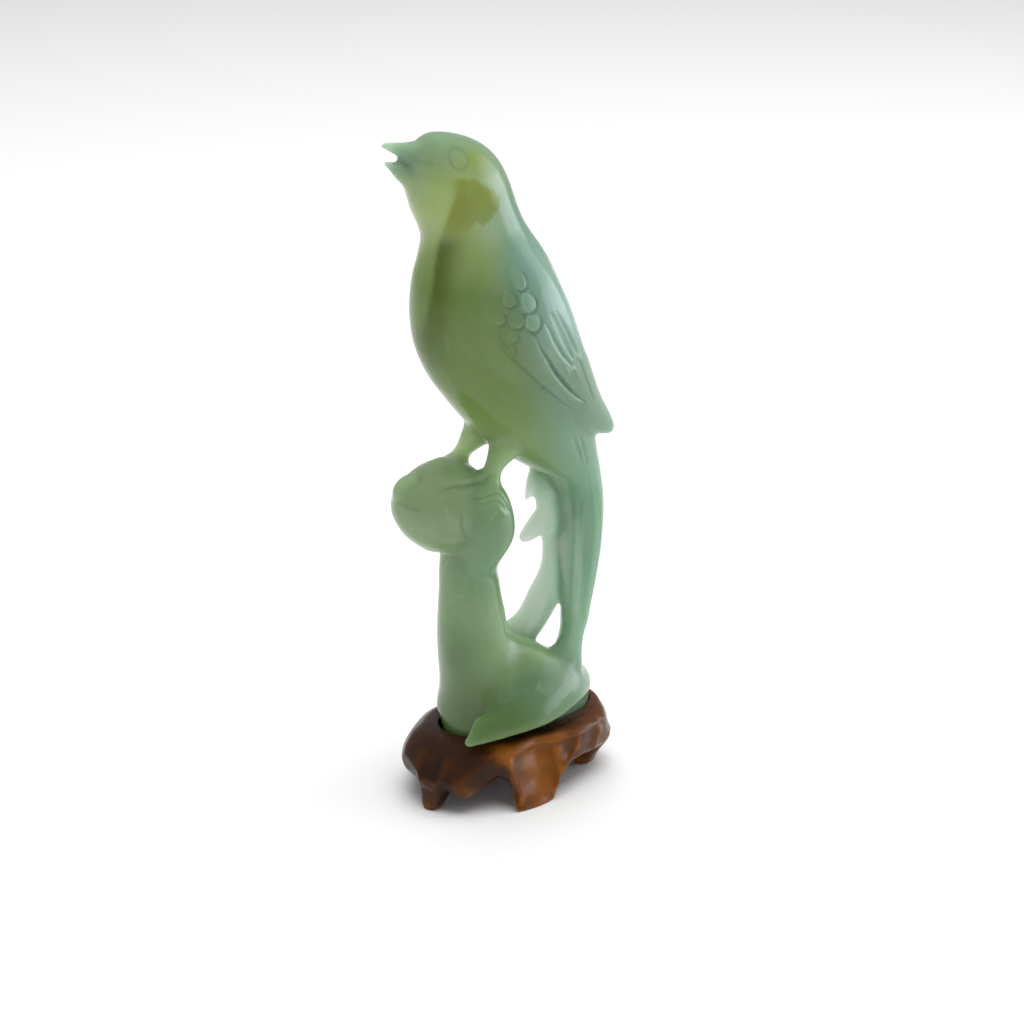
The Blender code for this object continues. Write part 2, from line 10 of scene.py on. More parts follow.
import logging
import math
from dataclasses import dataclass, field
from enum import Enum
from typing import Any, Sequence, Union

import bpy
import numpy as np
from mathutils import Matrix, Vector


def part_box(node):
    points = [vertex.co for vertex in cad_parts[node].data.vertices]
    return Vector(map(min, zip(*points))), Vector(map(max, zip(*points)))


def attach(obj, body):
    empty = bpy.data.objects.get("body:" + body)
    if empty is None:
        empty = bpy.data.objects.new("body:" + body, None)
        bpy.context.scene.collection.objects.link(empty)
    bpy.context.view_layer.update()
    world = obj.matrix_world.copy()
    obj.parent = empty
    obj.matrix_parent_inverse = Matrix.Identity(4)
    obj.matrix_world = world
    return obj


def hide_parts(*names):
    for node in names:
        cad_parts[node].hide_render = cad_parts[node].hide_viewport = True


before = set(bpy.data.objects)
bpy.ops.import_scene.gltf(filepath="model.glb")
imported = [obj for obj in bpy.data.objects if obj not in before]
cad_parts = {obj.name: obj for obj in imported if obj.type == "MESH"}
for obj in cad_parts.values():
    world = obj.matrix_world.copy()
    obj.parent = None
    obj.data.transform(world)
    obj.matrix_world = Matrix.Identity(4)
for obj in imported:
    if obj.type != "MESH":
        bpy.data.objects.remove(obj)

LOG = logging.getLogger("jade_bird")
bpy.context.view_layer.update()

Rows = Sequence[Sequence[float]]
Place = tuple[float, float, float]
Colour = tuple[float, float, float]


# Numbers and meshes


def smooth_rows(rows: Rows, steps: int = 6) -> np.ndarray:
    """Fills rows of numbers in along Catmull-Rom curves.

    Args:
        rows: The rows the curve passes through.
        steps: How many parts each span is cut into.

    Returns:
        The filled-in rows. Between rows p1 and p2, at share t, each number is half of
        2 p1 + (p2 - p0) t + (2 p0 - 5 p1 + 4 p2 - p3) t^2 + (3 p1 - p0 - 3 p2 + p3) t^3.
    """
    table = np.asarray(rows, float)
    padded = np.vstack((2 * table[0] - table[1], table, 2 * table[-1] - table[-2]))
    t = np.linspace(0.0, 1.0, steps, endpoint=False)[None, :, None]
    p0, p1, p2, p3 = (padded[k : len(padded) - 3 + k, None, :] for k in range(4))
    spans = 0.5 * (
        2 * p1
        + (p2 - p0) * t
        + (2 * p0 - 5 * p1 + 4 * p2 - p3) * t**2
        + (3 * p1 - p0 - 3 * p2 + p3) * t**3
    )
    return np.vstack((spans.reshape(-1, table.shape[1]), table[-1:]))


def unit_rows(vectors: np.ndarray) -> np.ndarray:
    """Each row divided by its length."""
    return vectors / np.maximum(np.linalg.norm(vectors, axis=-1, keepdims=True), 1e-12)


def bell(gap: np.ndarray, breadth: float) -> np.ndarray:
    """A bell curve of the gap: 1 at 0, and e to the minus 1 where the gap is the breadth."""
    return np.exp(-((gap / breadth) ** 2))


def ease(value: np.ndarray, low: float, high: float) -> np.ndarray:
    """A soft step: 0 below low, 1 above high, and 3 t^2 - 2 t^3 of the share between."""
    t = np.clip((value - low) / (high - low), 0.0, 1.0)
    return t * t * (3 - 2 * t)


def gap_to(points: np.ndarray, centre: Place, mirrored: bool) -> np.ndarray:
    """Each point's distance to a place, or to the place's mirror image where that is nearer."""
    gap = np.linalg.norm(points - centre, axis=1)
    if mirrored:
        gap = np.minimum(gap, np.linalg.norm(points * (1, -1, 1) - centre, axis=1))
    return gap


def grid_faces(rings: int, around: int) -> np.ndarray:
    """Quads of a grid of rings, each ring closed on itself, as four point numbers a row."""
    first = np.arange(rings - 1)[:, None] * around
    j = np.arange(around)[None, :]
    k = (j + 1) % around
    corners = (first + j, first + k, first + around + k, first + around + j)
    return np.stack(corners, axis=-1).reshape(-1, 4)


def closed_skin(rings: np.ndarray) -> tuple[np.ndarray, list[list[int]]]:
    """Points and faces of a closed skin over rings, with a pole in the middle of each end.

    Args:
        rings: Points as an array of ring, place round the ring, and x, y, z.

    Returns:
        The points and the faces, as lists of point numbers.
    """
    count, around, _ = rings.shape
    points = np.vstack((rings.reshape(-1, 3), rings[0].mean(axis=0), rings[-1].mean(axis=0)))
    j = np.arange(around)
    k = (j + 1) % around
    last = (count - 1) * around
    start = np.column_stack((np.full(around, count * around), k, j))
    end = np.column_stack((np.full(around, count * around + 1), last + j, last + k))
    faces = grid_faces(count, around).tolist() + start.tolist() + end.tolist()
    return points, faces


def mesh_of(name: str, skins: Sequence[tuple[np.ndarray, list[list[int]]]]) -> bpy.types.Mesh:
    """One mesh of several skins.

    Args:
        name: The mesh's name.
        skins: Points and faces of each skin.

    Returns:
        The mesh, with the faces of every skin turned outwards.
    """
    points, faces, start = [], [], 0
    for skin_points, skin_faces in skins:
        volume = signed_volume(skin_points, skin_faces)
        for face in skin_faces:
            numbers = [start + number for number in face]
            faces.append(numbers if volume > 0 else numbers[::-1])
        points.append(skin_points)
        start += len(skin_points)
    mesh = bpy.data.meshes.new(name)
    mesh.from_pydata(np.vstack(points).tolist(), [], faces)
    mesh.update()
    return mesh


def signed_volume(points: np.ndarray, faces: list[list[int]]) -> float:
    """Volume inside a skin, from the first triangle of each face: above 0 if faces look out."""
    total = 0.0
    for corner in (1, 2):
        chosen = [face for face in faces if len(face) > corner + 1]
        if not chosen:
            continue
        a, b, c = (points[[face[k] for face in chosen]] for k in (0, corner, corner + 1))
        total += float(np.sum(a * np.cross(b, c)) / 6)
    return total


def evaluated(mesh: bpy.types.Mesh, *modifiers: tuple[str, dict[str, Any]]) -> bpy.types.Mesh:
    """A new mesh with modifiers worked out on it.

    Args:
        mesh: The mesh to start from.
        modifiers: Each modifier's type and its settings.

    Returns:
        The resulting mesh.
    """
    holder = bpy.data.objects.new("holder", mesh)
    bpy.context.scene.collection.objects.link(holder)
    for kind, settings in modifiers:
        modifier = holder.modifiers.new(kind.title(), kind)
        for key, value in settings.items():
            setattr(modifier, key, value)
    bpy.context.view_layer.update()
    graph = bpy.context.evaluated_depsgraph_get()
    result = bpy.data.meshes.new_from_object(holder.evaluated_get(graph))
    bpy.data.objects.remove(holder)
    return result


def vectors_of(collection: Any, attribute: str) -> np.ndarray:
    """One vector of every item of a mesh collection, as rows."""
    flat = np.empty(len(collection) * 3, np.float32)
    collection.foreach_get(attribute, flat)
    return flat.reshape(-1, 3).astype(float)


def edges_of(mesh: bpy.types.Mesh) -> np.ndarray:
    """The mesh's edges as rows of two point numbers."""
    flat = np.empty(len(mesh.edges) * 2, np.int32)
    mesh.edges.foreach_get("vertices", flat)
    return flat.reshape(-1, 2)


def relaxed(points: np.ndarray, edges: np.ndarray, weight: np.ndarray, passes: int) -> np.ndarray:
    """Points drawn towards the mean of the points they share an edge with.

    Args:
        points: The points as rows.
        edges: Rows of two point numbers.
        weight: The share of the way each point goes in one pass.
        passes: How many times all points are moved.

    Returns:
        The moved points. A pass takes p to p + weight (mean of neighbours - p).
    """
    ends = np.concatenate((edges[:, 0], edges[:, 1]))
    others = np.concatenate((edges[:, 1], edges[:, 0]))
    counts = np.bincount(ends, minlength=len(points)).astype(float)
    share = weight / np.maximum(counts, 1.0)
    for _ in range(passes):
        sums = [np.bincount(ends, points[others, k], len(points)) for k in range(3)]
        points = points * (1 - weight)[:, None] + np.column_stack(sums) * share[:, None]
    return points


def set_points(mesh: bpy.types.Mesh, points: np.ndarray) -> None:
    """Writes the rows back as the mesh's points."""
    mesh.vertices.foreach_set("co", points.astype(np.float32).ravel())
    mesh.update()


def add_channel(mesh: bpy.types.Mesh, name: str, values: np.ndarray) -> None:
    """Keeps a number or a colour for each point in the mesh, for its finish to read."""
    if values.ndim == 1:
        channel = mesh.attributes.new(name, "FLOAT", "POINT")
        channel.data.foreach_set("value", values.astype(np.float32))
        return
    colours = np.column_stack((values, np.ones(len(values)))).astype(np.float32)
    channel = mesh.attributes.new(name, "FLOAT_COLOR", "POINT")
    channel.data.foreach_set("color", colours.ravel())


# Shader sums


class Wire:
    """One output socket of a finish, on which sums are written as Python expressions."""

    def __init__(self, graph: "Graph", socket: bpy.types.NodeSocket) -> None:
        """Keeps the graph and the socket."""
        self.graph = graph
        self.socket = socket

    @property
    def is_vector(self) -> bool:
        """Whether this socket carries three numbers."""
        return self.socket.type in ("VECTOR", "RGBA")

    def _sum(self, operation: str, *values: Any) -> "Wire":
        """The Math or Vector Math node of this operation on the values."""
        if any(isinstance(value, Wire) and value.is_vector for value in values):
            node = self.graph.node("ShaderNodeVectorMath", {"operation": operation}, *values)
        else:
            node = self.graph.node("ShaderNodeMath", {"operation": operation}, *values)
        return Wire(self.graph, node.outputs[0])

    def __add__(self, other: Any) -> "Wire":
        """This plus the other."""
        return self._sum("ADD", self, other)

    def __radd__(self, other: Any) -> "Wire":
        """The other plus this."""
        return self._sum("ADD", other, self)

    def __sub__(self, other: Any) -> "Wire":
        """This less the other."""
        return self._sum("SUBTRACT", self, other)

    def __rsub__(self, other: Any) -> "Wire":
        """The other less this."""
        return self._sum("SUBTRACT", other, self)

    def __mul__(self, other: Any) -> "Wire":
        """This times the other."""
        return self._sum("MULTIPLY", self, other)

    def __rmul__(self, other: Any) -> "Wire":
        """The other times this."""
        return self._sum("MULTIPLY", other, self)

    def __truediv__(self, other: Any) -> "Wire":
        """This divided by the other."""
        return self._sum("DIVIDE", self, other)

    def __rtruediv__(self, other: Any) -> "Wire":
        """The other divided by this."""
        return self._sum("DIVIDE", other, self)

    def __pow__(self, other: Any) -> "Wire":
        """This to the power of the other."""
        return self._sum("POWER", self, other)

    def step(self, low: float, high: float) -> "Wire":
        """0 up to low, 1 from high on, and an eased rise between."""
        settings = {"interpolation_type": "SMOOTHSTEP"}
        node = self.graph.node("ShaderNodeMapRange", settings, self, low, high)
        return Wire(self.graph, node.outputs[0])


class Graph:
    """The nodes of one finish."""

    def __init__(self, material: bpy.types.Material) -> None:
        """Clears the material's nodes and adds the shader and the output."""
        material.use_nodes = True
        self.tree = material.node_tree
        self.tree.nodes.clear()
        self.shader = self.node("ShaderNodeBsdfPrincipled", {})
        output = self.node("ShaderNodeOutputMaterial", {})
        self.tree.links.new(self.shader.outputs[0], output.inputs["Surface"])

    def node(self, kind: str, settings: dict[str, Any], *values: Any, **named: Any) -> bpy.types.Node:
        """Adds a node.

        Args:
            kind: The node's type.
            settings: The node's own settings.
            values: What its first sockets get, in order.
            named: What the sockets with these names get; an underscore stands for a space.

        Returns:
            The node.
        """
        node = self.tree.nodes.new(kind)
        for key, value in settings.items():
            setattr(node, key, value)
        for socket, value in zip(node.inputs, values):
            self._feed(socket, value)
        for name, value in named.items():
            self._feed(node.inputs[name.replace("_", " ")], value)
        return node

    def _feed(self, socket: bpy.types.NodeSocket, value: Any) -> None:
        """Links a wire to a socket, or sets the socket's value."""
        if isinstance(value, Wire):
            self.tree.links.new(value.socket, socket)
        elif socket.type == "RGBA":
            socket.default_value = (*value, 1.0) if len(value) == 3 else value
        else:
            socket.default_value = value

    def place(self) -> Wire:
        """The point of the surface in the object's own metres."""
        return Wire(self, self.node("ShaderNodeTexCoord", {}).outputs["Object"])

    def channel(self, name: str, colour: bool = False) -> Wire:
        """A number or colour that the mesh keeps for each point."""
        node = self.node("ShaderNodeAttribute", {"attribute_name": name})
        return Wire(self, node.outputs["Color" if colour else "Fac"])

    def noise(
        self, place: Wire, scale: float, detail: float = 3.0, rough: float = 0.5, warp: float = 0.0
    ) -> Wire:
        """Smooth noise about one half.

        Args:
            place: Where it is worked out.
            scale: About how many waves it has in a metre.
            detail: How many finer layers are added.
            rough: How strong each finer layer is beside the last.
            warp: How far the noise is bent by itself.

        Returns:
            The noise, from 0 to 1.
        """
        node = self.node(
            "ShaderNodeTexNoise", {}, Vector=place, Scale=scale, Detail=detail,
            Roughness=rough, Distortion=warp,
        )
        return Wire(self, node.outputs["Fac"])

    def stretched(self, place: Wire, scale: Sequence[float]) -> Wire:
        """The place scaled along each axis."""
        node = self.node("ShaderNodeMapping", {}, Vector=place, Scale=scale)
        return Wire(self, node.outputs[0])

    def mix(self, share: Wire, first: Any, second: Any) -> Wire:
        """Two colours mixed: the first where the share is 0, the second where it is 1."""
        node = self.node("ShaderNodeMix", {"data_type": "RGBA", "clamp_factor": True})
        # the node's sockets for colours come after those for numbers and vectors
        for number, value in ((0, share), (6, first), (7, second)):
            self._feed(node.inputs[number], value)
        return Wire(self, node.outputs[2])

    def bump(self, height: Wire, strength: float, distance: float) -> Wire:
        """The surface's normal, tilted as this height rises and falls over the surface."""
        node = self.node("ShaderNodeBump", {}, Strength=strength, Distance=distance, Height=height)
        return Wire(self, node.outputs[0])

    def finish(self, constants: dict[str, Any], **varying: Wire) -> None:
        """Sets the shader's constant sockets, and links those that change over the surface."""
        for name, value in constants.items():
            self._feed(self.shader.inputs[name], value)
        for name, wire in varying.items():
            self._feed(self.shader.inputs[name.replace("_", " ")], wire)


def linear(red: int, green: int, blue: int) -> Colour:
    """A screen colour of 0 to 255 as the linear shares, from 0 to 1, that shaders use."""
    shares = np.array((red, green, blue)) / 255
    values = np.where(shares <= 0.04045, shares / 12.92, ((shares + 0.055) / 1.055) ** 2.4)
    return tuple(float(value) for value in values)


# Finishes


@dataclass(frozen=True)
class JadeFinish:
    """Polished, cloudy, slightly translucent stone whose ground colour the mesh carries.

    Scales are about so many waves in a metre, and the wisps are drawn out upwards. The strengths
    of clouds, wisps, flecks and cuts are shares of the pale, deep or fleck colour that lies over
    the ground; the deep colour in the cuts is painted shade in the grooves. The smear's strength
    changes the roughness. The light depth is how far light goes into the stone, in metres, and
    the three shares of it are for red, green and blue.
    """

    name: str = "polished_jade"
    pale: Colour = linear(170, 188, 160)
    deep: Colour = linear(70, 98, 44)
    fleck: Colour = linear(104, 112, 48)
    cloud_scale: float = 34.0
    cloud_strength: float = 0.16
    wisp_scale: float = 90.0
    wisp_stretch: Place = (1.0, 1.4, 0.45)
    wisp_strength: float = 0.16
    fleck_scale: float = 620.0
    fleck_strength: float = 0.16
    cut_shade_strength: float = 0.12
    smear_scale: float = 210.0
    smear_strength: float = 0.1
    wave_scale: float = 150.0
    grain_scale: float = 1500.0
    grain_height: float = 0.02
    cut_grain_height: float = 0.06
    bump_strength: float = 0.34
    bump_height: float = 0.0006
    light_depth: float = 0.015
    depth_by_colour: Colour = (0.84, 0.96, 0.86)
    share_under_surface: float = 1.0
    refraction: float = 1.5
    sheen: float = 0.42
    roughness: float = 0.2
    cut_roughness: float = 0.22

    def material(self) -> bpy.types.Material:
        """The material.

        Returns:
            Stone whose ground colour is clouded by broad noise, streaked with pale wisps and
            dotted with olive flecks. Cuts are a little rougher and a little deeper in colour.
        """
        material = bpy.data.materials.new(self.name)
        graph = Graph(material)
        place = graph.place()
        ground = graph.channel("stone_colour", colour=True)
        cut = graph.channel("cut")
        cloud = graph.noise(place, self.cloud_scale, 4.0, 0.55, 0.6)
        wisp_place = graph.stretched(place, self.wisp_stretch)
        wisp = graph.noise(wisp_place, self.wisp_scale, 5.0, 0.62, 1.4)
        fleck = graph.noise(place, self.fleck_scale, 2.0, 0.6)
        paler, deeper = cloud.step(0.52, 0.78), (0.48 - cloud).step(0.0, 0.22)
        dots = fleck.step(0.66, 0.74) * cloud.step(0.4, 0.6)
        colour = graph.mix(paler * self.cloud_strength, ground, self.pale)
        colour = graph.mix(deeper * self.cloud_strength, colour, self.deep)
        colour = graph.mix(wisp.step(0.56, 0.76) * self.wisp_strength, colour, self.pale)
        colour = graph.mix(dots * self.fleck_strength, colour, self.fleck)
        # painted shade: the cuts darkened towards the deep colour
        colour = graph.mix(cut * self.cut_shade_strength, colour, self.deep)
        smear = graph.noise(place, self.smear_scale, 3.0, 0.6)
        rough = self.roughness + (smear - 0.5) * self.smear_strength
        rough = rough + cut * (self.cut_roughness - self.roughness)
        waves = graph.noise(place, self.wave_scale, 2.0, 0.5)
        grains = graph.noise(place, self.grain_scale, 2.0, 0.5)
        height = waves + grains * (self.grain_height + cut * self.cut_grain_height)
        graph.finish(
            {
                "Subsurface Weight": self.share_under_surface,
                "Subsurface Radius": self.depth_by_colour,
                "Subsurface Scale": self.light_depth,
                "IOR": self.refraction,
                "Specular IOR Level": self.sheen,
            },
            Base_Color=colour,
            Roughness=rough,
            Normal=graph.bump(height, self.bump_strength, self.bump_height),
        )
        return material


@dataclass(frozen=True)
class LacquerFinish:
    """Dark lacquered hardwood: long grain with pores, paler on ridges and dark in hollows.

    Scales are about so many waves in a metre, and each stretch draws a pattern out along X, the
    way the grain runs; the bend of the grain is in metres. Strengths say how much a pattern
    changes the tone, the colour or the roughness. The paler ridges are painted highlight, and
    the dark hollows painted shade.
    """

    name: str = "lacquered_hardwood"
    dark: Colour = linear(40, 22, 12)
    brown: Colour = linear(70, 37, 10)
    tan: Colour = linear(136, 80, 24)
    pore_colour: Colour = (0.012, 0.006, 0.003)
    # the colour of the painted shade in the hollows
    hollow_shade_colour: Colour = (0.012, 0.007, 0.004)
    bend_scale: float = 38.0
    bend: float = 0.006
    band_scale: float = 420.0
    band_stretch: Place = (0.14, 1.0, 0.8)
    band_strength: float = 0.3
    fibre_scale: float = 2400.0
    fibre_stretch: Place = (0.05, 1.0, 1.0)
    fibre_strength: float = 0.1
    pore_scale: float = 1300.0
    pore_stretch: Place = (0.16, 1.0, 1.0)
    pore_strength: float = 0.16
    blotch_scale: float = 60.0
    blotch_strength: float = 0.3
    hollow_shade_strength: float = 0.6
    smear_scale: float = 160.0
    smear_strength: float = 0.22
    dull_strength: float = 0.2
    wave_scale: float = 200.0
    bump_strength: float = 0.2
    bump_height: float = 0.0004
    refraction: float = 1.5
    sheen: float = 0.14
    roughness: float = 0.27
    coat: float = 0.12
    coat_roughness: float = 0.12

    def material(self) -> bpy.types.Material:
        """The material.

        Returns:
            Wood whose grain runs along X: broad bands, fine fibres and short dark pores. The
            mesh's warmth channel turns dark brown to orange tan, and its hollow channel darkens.
        """
        material = bpy.data.materials.new(self.name)
        graph = Graph(material)
        place = graph.place()
        warmth = graph.channel("warmth")
        hollow = graph.channel("hollow")
        lay = place + graph.noise(place, self.bend_scale, 2.0, 0.5) * self.bend
        bands = graph.noise(graph.stretched(lay, self.band_stretch), self.band_scale, 4.0, 0.6, 0.4)
        fibres = graph.noise(graph.stretched(lay, self.fibre_stretch), self.fibre_scale, 3.0, 0.6)
        pores = graph.noise(graph.stretched(lay, self.pore_stretch), self.pore_scale, 1.0, 0.5)
        blotch = graph.noise(place, self.blotch_scale, 3.0, 0.55)
        tone = warmth + (bands - 0.5) * self.band_strength
        tone = tone + (fibres - 0.5) * self.fibre_strength + (blotch - 0.5) * self.blotch_strength
        wood = graph.mix(tone.step(0.0, 0.55), self.dark, self.brown)
        wood = graph.mix(tone.step(0.4, 1.05), wood, self.tan)
        pore = pores.step(0.64, 0.72)
        wood = graph.mix(pore * self.pore_strength, wood, self.pore_colour)
        # painted shade: the hollows darkened nearly to black
        wood = graph.mix(hollow * self.hollow_shade_strength, wood, self.hollow_shade_colour)
        smear = graph.noise(place, self.smear_scale, 3.0, 0.6)
        rough = self.roughness + (smear - 0.5) * self.smear_strength
        rough = rough + pore * self.dull_strength + hollow * self.dull_strength
        height = fibres * 0.1 + bands * 0.2 - pore * 0.15
        height = height + graph.noise(place, self.wave_scale, 2.0, 0.5)
        graph.finish(
            {
                "IOR": self.refraction,
                "Specular IOR Level": self.sheen,
                "Coat Weight": self.coat,
                "Coat Roughness": self.coat_roughness,
            },
            Base_Color=wood,
            Roughness=rough,
            Normal=graph.bump(height, self.bump_strength, self.bump_height),
        )
        return material


@dataclass(frozen=True)
class FloorFinish:
    """A plain pale floor, with a faint mottle of a duller grey."""

    name: str = "pale_floor"
    colour: Colour = (0.86, 0.86, 0.86)
    mottle_colour: Colour = (0.8, 0.8, 0.8)
    mottle_strength: float = 0.04
    mottle_scale: float = 3.0
    roughness: float = 0.9
    sheen: float = 0.2

    def material(self) -> bpy.types.Material:
        """The material: nearly white and quite matt."""
        material = bpy.data.materials.new(self.name)
        graph = Graph(material)
        share = graph.noise(graph.place(), self.mottle_scale, 2.0) * self.mottle_strength
        colour = graph.mix(share, self.colour, self.mottle_colour)
        constants = {"Roughness": self.roughness, "Specular IOR Level": self.sheen}
        graph.finish(constants, Base_Color=colour)
        return material


# Cuts in the stone


class Side(Enum):
    """Which side of the carving a cut is on."""

    LEFT = "left"
    BOTH = "both"


def along_line(points: np.ndarray, line: np.ndarray) -> tuple[np.ndarray, np.ndarray, np.ndarray]:
    """How the points lie beside a line of points in the same plane.

    Args:
        points: Rows of two numbers.
        line: Rows of two numbers, joined by straight spans.

    Returns:
        The gap to the nearest span, the side of it (1 left, -1 right), and the share of the
        line's length there. The foot on a span is clip((p - a) . (b - a) / |b - a|^2, 0, 1).
    """
    gap = np.full(len(points), np.inf)
    side = np.zeros(len(points))
    share = np.zeros(len(points))
    spans = np.diff(line, axis=0)
    lengths = np.linalg.norm(spans, axis=1)
    starts = np.concatenate(([0.0], np.cumsum(lengths)))[:-1]
    for start, span, length, before in zip(line, spans, lengths, starts):
        t = np.clip((points - start) @ span / length**2, 0.0, 1.0)
        off = points - start - t[:, None] * span
        distance = np.hypot(off[:, 0], off[:, 1])
        nearer = distance < gap
        gap[nearer] = distance[nearer]
        side[nearer] = np.sign(span[0] * off[nearer, 1] - span[1] * off[nearer, 0])
        share[nearer] = (before + t[nearer] * length) / lengths.sum()
    return gap, side, share


@dataclass(frozen=True)
class Cut:
    """A line cut in the stone, seen from the side.

    A groove of this depth and breadth follows the line. The stone on one side may also stand
    proud by a step that falls away over its reach, and the line fades out at its ends.
    """

    line: Rows
    depth: float = 0.5
    breadth: float = 0.5
    step: float = 0.0
    reach: float = 3.0
    side: Side = Side.LEFT

    def height(self, flat: np.ndarray) -> tuple[np.ndarray, np.ndarray]:
        """How far the cut moves each point, and how much of a cut it is there.

        Args:
            flat: The points' x and z in the carving's units.

        Returns:
            The height in units, and a share from 0 to 1. Both follow a bell curve of the gap
            over the breadth, a quarter as strong at the line's ends. The step falls off as e to
            the minus gap over reach, and fades out at the ends.
        """
        line = smooth_rows(self.line, 4)
        margin = 3 * self.breadth + 2.5 * self.reach * (self.step != 0)
        near = np.all((flat > line.min(axis=0) - margin) & (flat < line.max(axis=0) + margin), axis=1)
        moved = np.zeros(len(flat))
        mark = np.zeros(len(flat))
        if not near.any():
            return moved, mark
        gap, side, share = along_line(flat[near], line)
        fade = np.clip(np.minimum(share, 1 - share) / 0.12, 0.0, 1.0) ** 0.5
        groove = bell(gap, self.breadth) * (0.25 + 0.75 * fade)
        raised = self.step * np.exp(-gap / self.reach) * (side > 0) * fade
        raised *= 1 - bell(gap, self.breadth * 0.6)
        moved[near] = raised - self.depth * groove
        mark[near] = groove
        return moved, mark


@dataclass(frozen=True)
class Bevel:
    """A feather's edge: the stone slopes gently down to the line, then rises steeply past it.

    The slope lies on the right of the line as it runs, is as wide as this at its widest, and
    narrows to nothing at both ends. It leads this deep under the edge.
    """

    line: Rows
    depth: float
    width: float
    steep: float = 0.32
    side: Side = Side.BOTH

    def height(self, flat: np.ndarray) -> tuple[np.ndarray, np.ndarray]:
        """How far the bevel moves each point, and how much of a cut it is there.

        Args:
            flat: The points' x and z in the carving's units.

        Returns:
            The height: minus the depth at the line, rising in a straight slope to 0 at the
            width on one side and at the steep width on the other. Depth and width go with the
            root of the sine of pi times the share of the line. The share of a cut is 0.3 of a
            bell curve of the gap over the steep width.
        """
        gap, side, share = along_line(flat, smooth_rows(self.line, 4))
        taper = np.sqrt(np.clip(np.sin(math.pi * np.clip(share, 0.02, 0.98)), 0.0, 1.0))
        width = np.where(side < 0, self.width * taper, self.steep)
        inside = np.clip(1 - gap / width, 0.0, 1.0)
        ends = (share > 0.0) & (share < 1.0) | (gap < 0.3)
        fall = self.depth * taper * inside * ends
        return -fall, 0.3 * bell(gap, self.steep) * taper * ends


@dataclass(frozen=True)
class Trough:
    """A hollow scooped along a line, widest in its middle and pointed at both ends."""

    line: Rows
    depth: float
    half_width: float
    side: Side = Side.LEFT

    def height(self, flat: np.ndarray) -> tuple[np.ndarray, np.ndarray]:
        """How far the hollow moves each point, and how much of a cut it is there.

        Args:
            flat: The points' x and z in the carving's units.

        Returns:
            The height in units, which is minus the depth times 1 - (gap / width)^2 within the
            width, and a quarter of that hollow's share of the depth as the share of a cut. The
            width is the half width times the root of the sine of pi times the share of the line.
        """
        gap, _, share = along_line(flat, smooth_rows(self.line, 4))
        width = self.half_width * np.sqrt(np.clip(np.sin(math.pi * share), 0.0, 1.0)) + 1e-6
        hollow = np.clip(1 - (gap / width) ** 2, 0.0, 1.0)
        return -self.depth * hollow, 0.25 * hollow


@dataclass(frozen=True)
class Plate:
    """A small round feather that stands proud of the wing, with its free edge downwards.

    Its tilt turns it like a facet: its left side stands this far up and its right side this far
    down. It reaches up from its centre by its radius times its tall number, and a little less far
    down. The fall is the direction in which its free edge points, and the shaded direction is
    where the groove round it is deepest; both are x and z.
    """

    centre: tuple[float, float]
    radius: float = 2.4
    rise: float = 0.55
    tilt: float = 0.2
    tall: float = 1.3
    fall: tuple[float, float] = (0.38, -0.92)
    shaded: tuple[float, float] = (0.88, -0.48)


@dataclass(frozen=True)
class Spot:
    """A round boss in a ring, such as the eye."""

    centre: tuple[float, float]
    radius: float
    rise: float
    ring_depth: float
    side: Side = Side.BOTH

    def height(self, flat: np.ndarray) -> tuple[np.ndarray, np.ndarray]:
        """How far the boss moves each point, and how much of a cut it is there.

        Args:
            flat: The points' x and z in the carving's units.

        Returns:
            A flat-topped rise, e to the minus (gap / 0.82 radius)^4, less a ring that is a bell
            curve about the radius; and the ring as the share of a cut.
        """
        gap = np.hypot(flat[:, 0] - self.centre[0], flat[:, 1] - self.centre[1])
        ring = bell(gap - self.radius, 0.42)
        boss = np.exp(-((gap / (0.82 * self.radius)) ** 4))
        return self.rise * boss - self.ring_depth * ring, ring


def plates_height(flat: np.ndarray, plates: Sequence[Plate]) -> tuple[np.ndarray, np.ndarray]:
    """Round feathers laid over one another like tiles.

    Args:
        flat: The points' x and z in the carving's units.
        plates: The feathers, the lowest first.

    Returns:
        The height in units and the share of a cut. Inside a feather's drop shape the height is
        its rise times the share of the way to its free edge, dished a little in the middle,
        less its tilt times the way to the right; later feathers lie over earlier ones, and a
        groove runs round the shaded side of each.
    """
    height = np.zeros(len(flat))
    mark = np.zeros(len(flat))
    for plate in plates:
        fall = np.asarray(plate.fall) / math.hypot(*plate.fall)
        off = (flat - plate.centre) / plate.radius
        down = off @ fall
        across = off @ np.array((fall[1], -fall[0]))
        stretched = np.where(down < 0, down / plate.tall, down * 2 / (1 + plate.tall))
        reach = np.hypot(stretched, across * (1 + 0.18 * np.clip(-down, 0, 2)))
        inside = reach < 1
        slope = np.clip((down + 1.3) / 2.3, 0.0, 1.0)
        edge = ease(1 - reach, 0.0, 0.2)
        towards = unit_rows(off + 1e-9) @ np.asarray(plate.shaded)
        shade = ease(towards, -0.5, 0.9)
        rim = bell((reach - 1) * plate.radius, 0.34) * shade
        dish = 0.6 + 0.4 * reach**2
        facet = plate.rise * slope * dish - plate.tilt * off[:, 0]
        height = np.where(inside, edge * facet, height)
        height -= (0.2 + 0.3 * plate.rise + 0.3 * plate.tilt) * rim
        mark = np.maximum(np.where(inside, 0.0, mark), rim)
    return height, mark


# The stone


